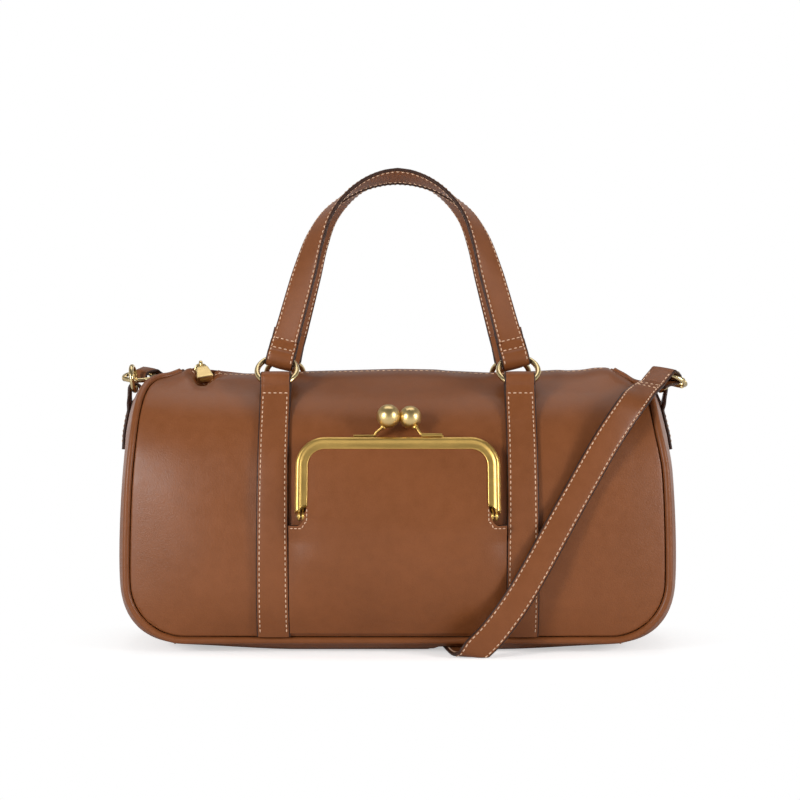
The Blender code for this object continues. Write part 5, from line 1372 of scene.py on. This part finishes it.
def make_slider():
    low = TEETH_TOP + CLEARANCE
    high = low + SLIDER_PLATE
    xs = np.linspace(-SLIDER_HALF, SLIDER_HALF, 21)
    plate = np.stack([SLIDER_X + xs, 0 * xs, 0 * xs + (low + high) / 2], axis=1)
    parts = [slab(plate, Y_AXIS, np.interp(xs, *SLIDER_OUTLINE.T), SLIDER_PLATE)]
    for sign in (-1, 1):
        ends = SLIDER_X + mm(-4.4, 4.4)
        level = (TEETH_LOW + low) / 2 + 0.0006
        rail = np.stack([ends, 0 * ends + sign * 0.0037, 0 * ends + level], axis=1)
        parts.append(slab(rail, Y_AXIS, 0.0011, low - TEETH_LOW, 0.0003))
    reach = SLIDER_HALF - 2 * BRIDGE_WIRE
    foot = high - BRIDGE_WIRE / 2
    shares = BRIDGE_SHAPE + tuple((-a, b) for a, b in BRIDGE_SHAPE[-2::-1])
    arch = [(SLIDER_X + reach * a, 0.0, foot + BRIDGE_HEIGHT * b) for a, b in shares]
    parts.append(slab(smooth(arch, 40), Y_AXIS, 0.0018, 0.0014, 0.0005))
    add_brass("zip_slider", parts, "zip_slider", "zip_slider", [RING_SKIN])
    make_tab(np.array((SLIDER_X, 0.0, foot + BRIDGE_HEIGHT)))


def make_tab(pivot):
    """A chunky tab: a loop on the arch, a satin body that widens, and a slot sunk in its end."""
    down = unit((TAB_LEAN, -math.cos(TAB_DROOP), -math.sin(TAB_DROOP)))
    wide = unit(X_AXIS - down * down[0])
    out = np.cross(down, wide)
    loop = circle(pivot, down, out if out[2] > 0 else -out, 0.0019, 36)
    parts = [sweep(loop, X_AXIS, round_section(0.00065, 10) * (1.6, 1.0), True)]
    reach = np.linspace(TAB_OUTLINE[0, 0], TAB_OUTLINE[-1, 0], 24)
    halves = along(TAB_OUTLINE[:, 1:], TAB_OUTLINE[:, 0], reach) / 2
    sections = [rounded_section(w, t, TAB_CORNER, 6) for w, t in halves]
    sections += [sections[-1] * share for share, _ in TAB_END]
    reach = np.append(reach, reach[-1] + mm(*[deep for _, deep in TAB_END]))
    sections = np.array(sections)
    centres = pivot + reach[:, None] * down
    rings = centres[:, None] + sections[..., :1] * wide + sections[..., 1:] * out
    parts.append(tube(rings, ()))
    add_brass("zip_pull_tab", parts, "zip_pull_tab", "zip_pull_tab", [BALL_SKIN])


# Side tabs, rings and clips

SIDE_WIRE = np.array((SEAM_HALF_WIDTH + 0.006, 0.0, 0.9395 * BODY_HEIGHT))
SIDE_RING_RADIUS = 0.0072
SIDE_RING_WIRE = 0.00145
CLIP_RADIUS = 0.0091
CLIP_WIRE = 0.0014
CLIP_SEAT = 0.0036
GATE_START = math.radians(60)
GATE_SPAN = math.radians(62)
HINGE_GAP = math.radians(6)
LATCH_GAP = math.radians(13)
CLIP_COLLAR = mm((1.1, -0.7), (1.65, -0.5), (1.75, 0.0), (1.65, 0.5), (1.1, 0.7))
# Each clip's side, ring lean, way from its ring, twist, strap slide and strap fold's way
CLIPS = (
    ("right", FRONT, 45, unit((-0.20, -0.93, 0.25)), 0.45, 24, (-0.60, -0.58, -0.55)),
    ("left", LEFT, 7, unit((0.25, 0.93, 0.27)), 0.0, -20, (-0.05, 0.95, -0.25)),
)


def make_side_tab(hand, flip):
    """A tab sewn up the gusset, folded over the side ring's wire and narrowed there."""
    runs = np.linspace(0.3 * SEAM_LENGTH, SEAM_LENGTH, 500)
    line, normals = gusset(runs, 0.0), gusset_normal(runs, 0.0)
    normals = normals * np.where(normals[:, :1] < 0, -1.0, 1.0)
    upright = line[: int(np.argmax(line[:, 2])), 2]
    zs = np.linspace(0.718 * BODY_HEIGHT, 0.860 * BODY_HEIGHT, 14)
    near = [np.argmin(np.abs(upright - z)) for z in zs]
    path = settle(line[near]) if hand == "right" else line[near]
    path = path + normals[near] * (STRAP_THICKNESS / 2 + 0.0004)
    away = unit(path[-1] - SIDE_WIRE)
    out = np.array((-away[2], 0.0, away[0]))
    out = out if out[0] > 0 else -out
    angles = np.radians(np.linspace(112, -112, 11))[:, None]
    reach = 0.0031 + 0.0009 * np.maximum(np.cos(angles), 0.0)
    turn = SIDE_WIRE + reach * (np.sin(angles) * out - np.cos(angles) * away)
    leaves = [SIDE_WIRE + away * a + out * b for a, b in mm((7.8, 1.3), (7.5, -1.0), (10.0, -1.2))]
    fold = fine_curve(np.vstack([path[-2:], leaves[0], turn, leaves[1:]]), 6)[6:]
    centres = np.vstack([path[:-1], fold])
    near = np.minimum(np.linalg.norm(centres - SIDE_WIRE, axis=1) / 0.009, 1.0)
    width = 0.0066 + 0.0054 * ease((near - 0.45) / 0.55)
    rear = np.arange(len(centres)) > np.argmax(centres[:, 2])
    width = np.where(rear, np.minimum(width, 0.0090), width)
    seam = (0.0012, lengths_of(centres)[len(path) - 1])
    made = strap(centres, Y_AXIS, width, np.where(rear, 0.0014, 0.0020), seam, inset=0.0015)
    add_strap(f"{hand}_side_tab_leather", made, [], "bag", f"{hand}_side_tab", flip)


def clip_frame(flip, lean, lead, twist):
    """The side ring's up way and centre, the clip's across way and centre."""
    lean = math.radians(lean)
    up = np.array((math.sin(lean), 0.0, math.cos(lean))) * flip
    side_centre = SIDE_WIRE * flip + SIDE_RING_RADIUS * up
    level = unit(X_AXIS - lead * lead[0])
    across = (1 - twist) * level + twist * unit(np.cross(up, lead))
    across = unit(across - lead * np.dot(across, lead))
    link = side_centre + SIDE_RING_RADIUS * math.copysign(1.0, lead[1]) * Y_AXIS
    return up, side_centre, across, link + lead * (CLIP_RADIUS - CLIP_SEAT)


def make_side_hardware():
    start = GATE_START + GATE_SPAN + LATCH_GAP
    span = FULL_TURN - GATE_SPAN - LATCH_GAP - HINGE_GAP
    for hand, flip, lean, lead, twist, _, _ in CLIPS:
        make_side_tab(hand, flip)
        up, side_centre, across, centre = clip_frame(flip, lean, lead, twist)
        place = (side_centre, Y_AXIS, up, SIDE_RING_RADIUS, SIDE_RING_WIRE, 72)
        add_ring(f"{hand}_side_ring", *place, f"side_ring_{hand}")
        across = across if hand == "right" else -across
        parts = [ring_arc(centre, lead, across, start, span, 80, CLIP_WIRE, (1.12, 1.2))]
        for angle in (start - 0.02, start + span + 0.01):
            out = math.cos(angle) * lead + math.sin(angle) * across
            way = math.cos(angle) * across - math.sin(angle) * lead
            parts.append(lathe(centre + CLIP_RADIUS * out, way, CLIP_COLLAR, 20))
        add_brass(f"{hand}_clip", parts, f"clip_{hand}", f"{hand}_clip", [RING_SKIN])
        gate = (GATE_START + 0.03, GATE_SPAN - 0.03, 30, CLIP_WIRE * 0.86, (1.0, 1.0))
        parts = [ring_arc(centre, lead, across, *gate)]
        add_brass(f"{hand}_clip_gate", parts, f"gate_{hand}", f"{hand}_clip_gate", [RING_SKIN])


def ring_arc(centre, first, second, start, span, steps, wire, swells):
    """A round bar bent to an arc, its ends swollen and slightly domed."""
    centres = circle(centre, first, second, CLIP_RADIUS, steps, start, span, False)
    share = np.linspace(0, 1, steps + 1)
    ends = zip(swells, (share, 1 - share))
    girth = 1 + sum((swell - 1) * np.clip(1 - at * 12, 0, 1) for swell, at in ends)
    girth[[0, -1]] *= 0.7
    sections = round_section(wire, 16) * girth[:, None, None]
    return sweep(centres, np.cross(first, second), sections)


# Shoulder strap

SHOULDER_STRAP_WIDTH = 0.0156
END_LENGTH = 0.0125
ROUTE_POINTS = 520
# Shares of the seam's half width, half depth and height, and the way of the strap's width
SHOULDER_ROUTE = (
    (0.927, -0.727, 0.933, 0.84, -0.42, -0.300), (0.866, -0.990, 0.879, 0.84, 0.00, -0.545),
    (0.775, -1.130, 0.758, 0.84, 0.00, -0.545), (0.659, -1.220, 0.570, 0.84, 0.00, -0.545),
    (0.580, -1.280, 0.439, 0.84, 0.00, -0.545), (0.509, -1.325, 0.318, 0.84, 0.00, -0.545),
    (0.429, -1.350, 0.191, 0.84, 0.00, -0.545), (0.349, -1.360, 0.089, 0.84, 0.00, -0.545),
    (0.287, -1.372, 0.030, 0.84, 0.15, -0.500), (0.268, -1.340, 0.0110, 0.84, 0.40, -0.30),
    (0.250, -1.200, 0.0083, 0.90, 0.300, 0.0), (0.224, -0.660, 0.0083, 0.99, 0.10, 0.0),
    (0.200, 0.000, 0.0083, 0.99, 0.10, 0.0), (0.176, 0.660, 0.0083, 0.99, 0.10, 0.0),
    (0.153, 1.200, 0.0083, 0.99, 0.05, 0.0), (0.163, 1.355, 0.0110, 0.93, -0.25, 0.20),
    (0.213, 1.500, 0.0330, 0.60, -0.30, 0.75), (0.310, 1.590, 0.0550, 0.15, -0.10, 0.98),
    (0.440, 1.610, 0.0565, 0.0, 0.0, 1.0), (0.667, 1.615, 0.0565, 0.0, 0.0, 1.0),
    (0.853, 1.630, 0.0565, 0.0, 0.0, 1.0), (0.920, 1.690, 0.0565, 0.0, 0.0, 1.0),
    (0.942, 1.800, 0.0565, 0.0, 0.0, 1.0), (0.915, 1.910, 0.0565, 0.0, 0.0, 1.0),
    (0.840, 1.975, 0.0565, 0.0, 0.0, 1.0), (0.667, 1.990, 0.0565, 0.0, 0.0, 1.0),
    (0.267, 1.985, 0.0565, 0.0, 0.0, 1.0), (-0.133, 1.970, 0.0565, 0.0, 0.0, 1.0),
    (-0.400, 1.920, 0.0600, 0.0, 0.15, 0.98), (-0.567, 1.800, 0.0850, -0.10, 0.60, 0.78),
    (-0.673, 1.640, 0.1700, -0.10, 0.93, 0.30), (-0.753, 1.440, 0.3300, 0.30, 0.95, 0.10),
    (-0.840, 1.370, 0.5600, 0.70, 0.70, 0.20), (-0.913, 1.260, 0.7500, 0.95, 0.20, 0.10),
    (-0.955, 1.090, 0.8720, 0.95, -0.10, 0.10), (-0.980, 0.860, 0.9560, 0.92, -0.30, 0.0),
)


def strap_fold(flip, lean, lead, twist, slide, away):
    """A strap end's points, front leaf to rear leaf round the clip's wire, and its width's way."""
    _, _, across, centre = clip_frame(flip, lean, lead, twist)
    c, s = math.cos(math.radians(slide)), math.sin(math.radians(slide))
    lead, across = c * lead - s * across, c * across + s * lead
    away = unit(away - across * np.dot(away, across))
    out = np.cross(across, away)
    out = out if out[2] > 0 else -out
    near_arc = -0.0054 * np.array((np.dot(lead, away), np.dot(lead, out)))
    flat = [mm(12.5, 1.3), mm(8.0, 1.8)]
    for angle in np.radians(np.linspace(70, 290, 23)):
        way = np.array((math.cos(angle), math.sin(angle)))
        flat.append(0.0025 * way + (near_arc if near_arc @ way > 0 else 0.0))
    flat += [(0.0075, -0.0015 - 0.30 * max(0.0, -near_arc[1] - 0.002)), mm(11.2, -1.3)]
    flat = np.array(flat)
    wire = centre + lead * CLIP_RADIUS
    return wire + flat[:, :1] * away + flat[:, 1:] * out, across


def make_shoulder_strap():
    """Four pieces in a row: each end folds round its clip, each run lies along the bag."""
    folds = {hand: strap_fold(*rest) for hand, *rest in CLIPS}
    route = np.array(SHOULDER_ROUTE)
    route[:, :3] *= (SEAM_HALF_WIDTH, SEAM_HALF_DEPTH, BODY_HEIGHT)
    route[:, 3:] *= SEAM_HALF_DEPTH
    tips = {hand: np.append(fold[0], way * SEAM_HALF_DEPTH) for hand, (fold, way) in folds.items()}
    line = fine_curve(np.vstack([tips["right"], route, tips["left"]]), 30)
    main, total = evenly(line, ROUTE_POINTS), lengths_of(line)[-1]
    lengths, step = lengths_of(main), total / (ROUTE_POINTS - 1)
    marks = (0.0, END_LENGTH, 0.45 * total, total - END_LENGTH, total)
    pieces = {}
    names = ("right_end", "right_run", "left_run", "left_end")
    for name, first, last in zip(names, marks, marks[1:]):
        part = main[(lengths >= first - step * (first > 0)) & (lengths <= last)]
        hand, kind = name.split("_")
        centres, guides = part[:, :3], unit(part[:, 3:])
        width, rows = SHOULDER_STRAP_WIDTH, []
        thick = np.full(len(part), STRAP_THICKNESS)
        if kind == "end":
            fold, across = folds[hand]
            order = -1 if hand == "right" else 1
            centres, guides = centres[::order], guides[::order]
            loop = fine_curve(np.vstack([centres[-3], fold]), 6)[7:]
            row = lengths_of(centres)[-1]
            centres = np.vstack([centres, loop])[::order]
            guides = np.vstack([guides, np.tile(across, (len(loop), 1))])[::order]
            thick = np.append(thick, np.full(len(loop), 0.0018))[::order]
        whole = lengths_of(centres)[-1]
        seam = (0.0, whole)
        if name == "right_end":
            row = whole - row
            seam = (row - 0.0105, whole)
        elif name == "left_end":
            seam = (0.0, row + 0.0105)
            width = width - 0.0056 * ease((lengths_of(centres) - whole + 0.036) / 0.014)
        if kind == "end":
            places = [row - order * gap for gap in (0.0050, 0.0092)]
            rows = [cross_row(centres, guides, SHOULDER_STRAP_WIDTH, place, 1) for place in places]
        made = strap(centres, guides, width, thick, seam, ends=0.0004)
        obj = add_strap(f"shoulder_strap_{name}", made, rows, None, "shoulder_strap")
        for vertex in obj.data.vertices:
            vertex.co.z = max(vertex.co.z, CLEARANCE + 0.0001)
        pieces[name] = obj
    for hand, start, way in (("right", 0.0, 1), ("left", total, -1)):
        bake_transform(pieces[f"{hand}_run"])
        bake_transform(pieces[f"{hand}_end"])


def dress_solids():
    """Better materials for the nodes that keep their own shape."""
    skins = {"base_board": BOARD, "left_zip_stop": TEETH_SKIN, "right_zip_stop": TEETH_SKIN}
    for node, skin in skins.items():
        for slot in bpy.data.objects[node].material_slots:
            slot.material = skin


make_zip()
make_slider()
make_side_hardware()
make_shoulder_strap()
dress_solids()
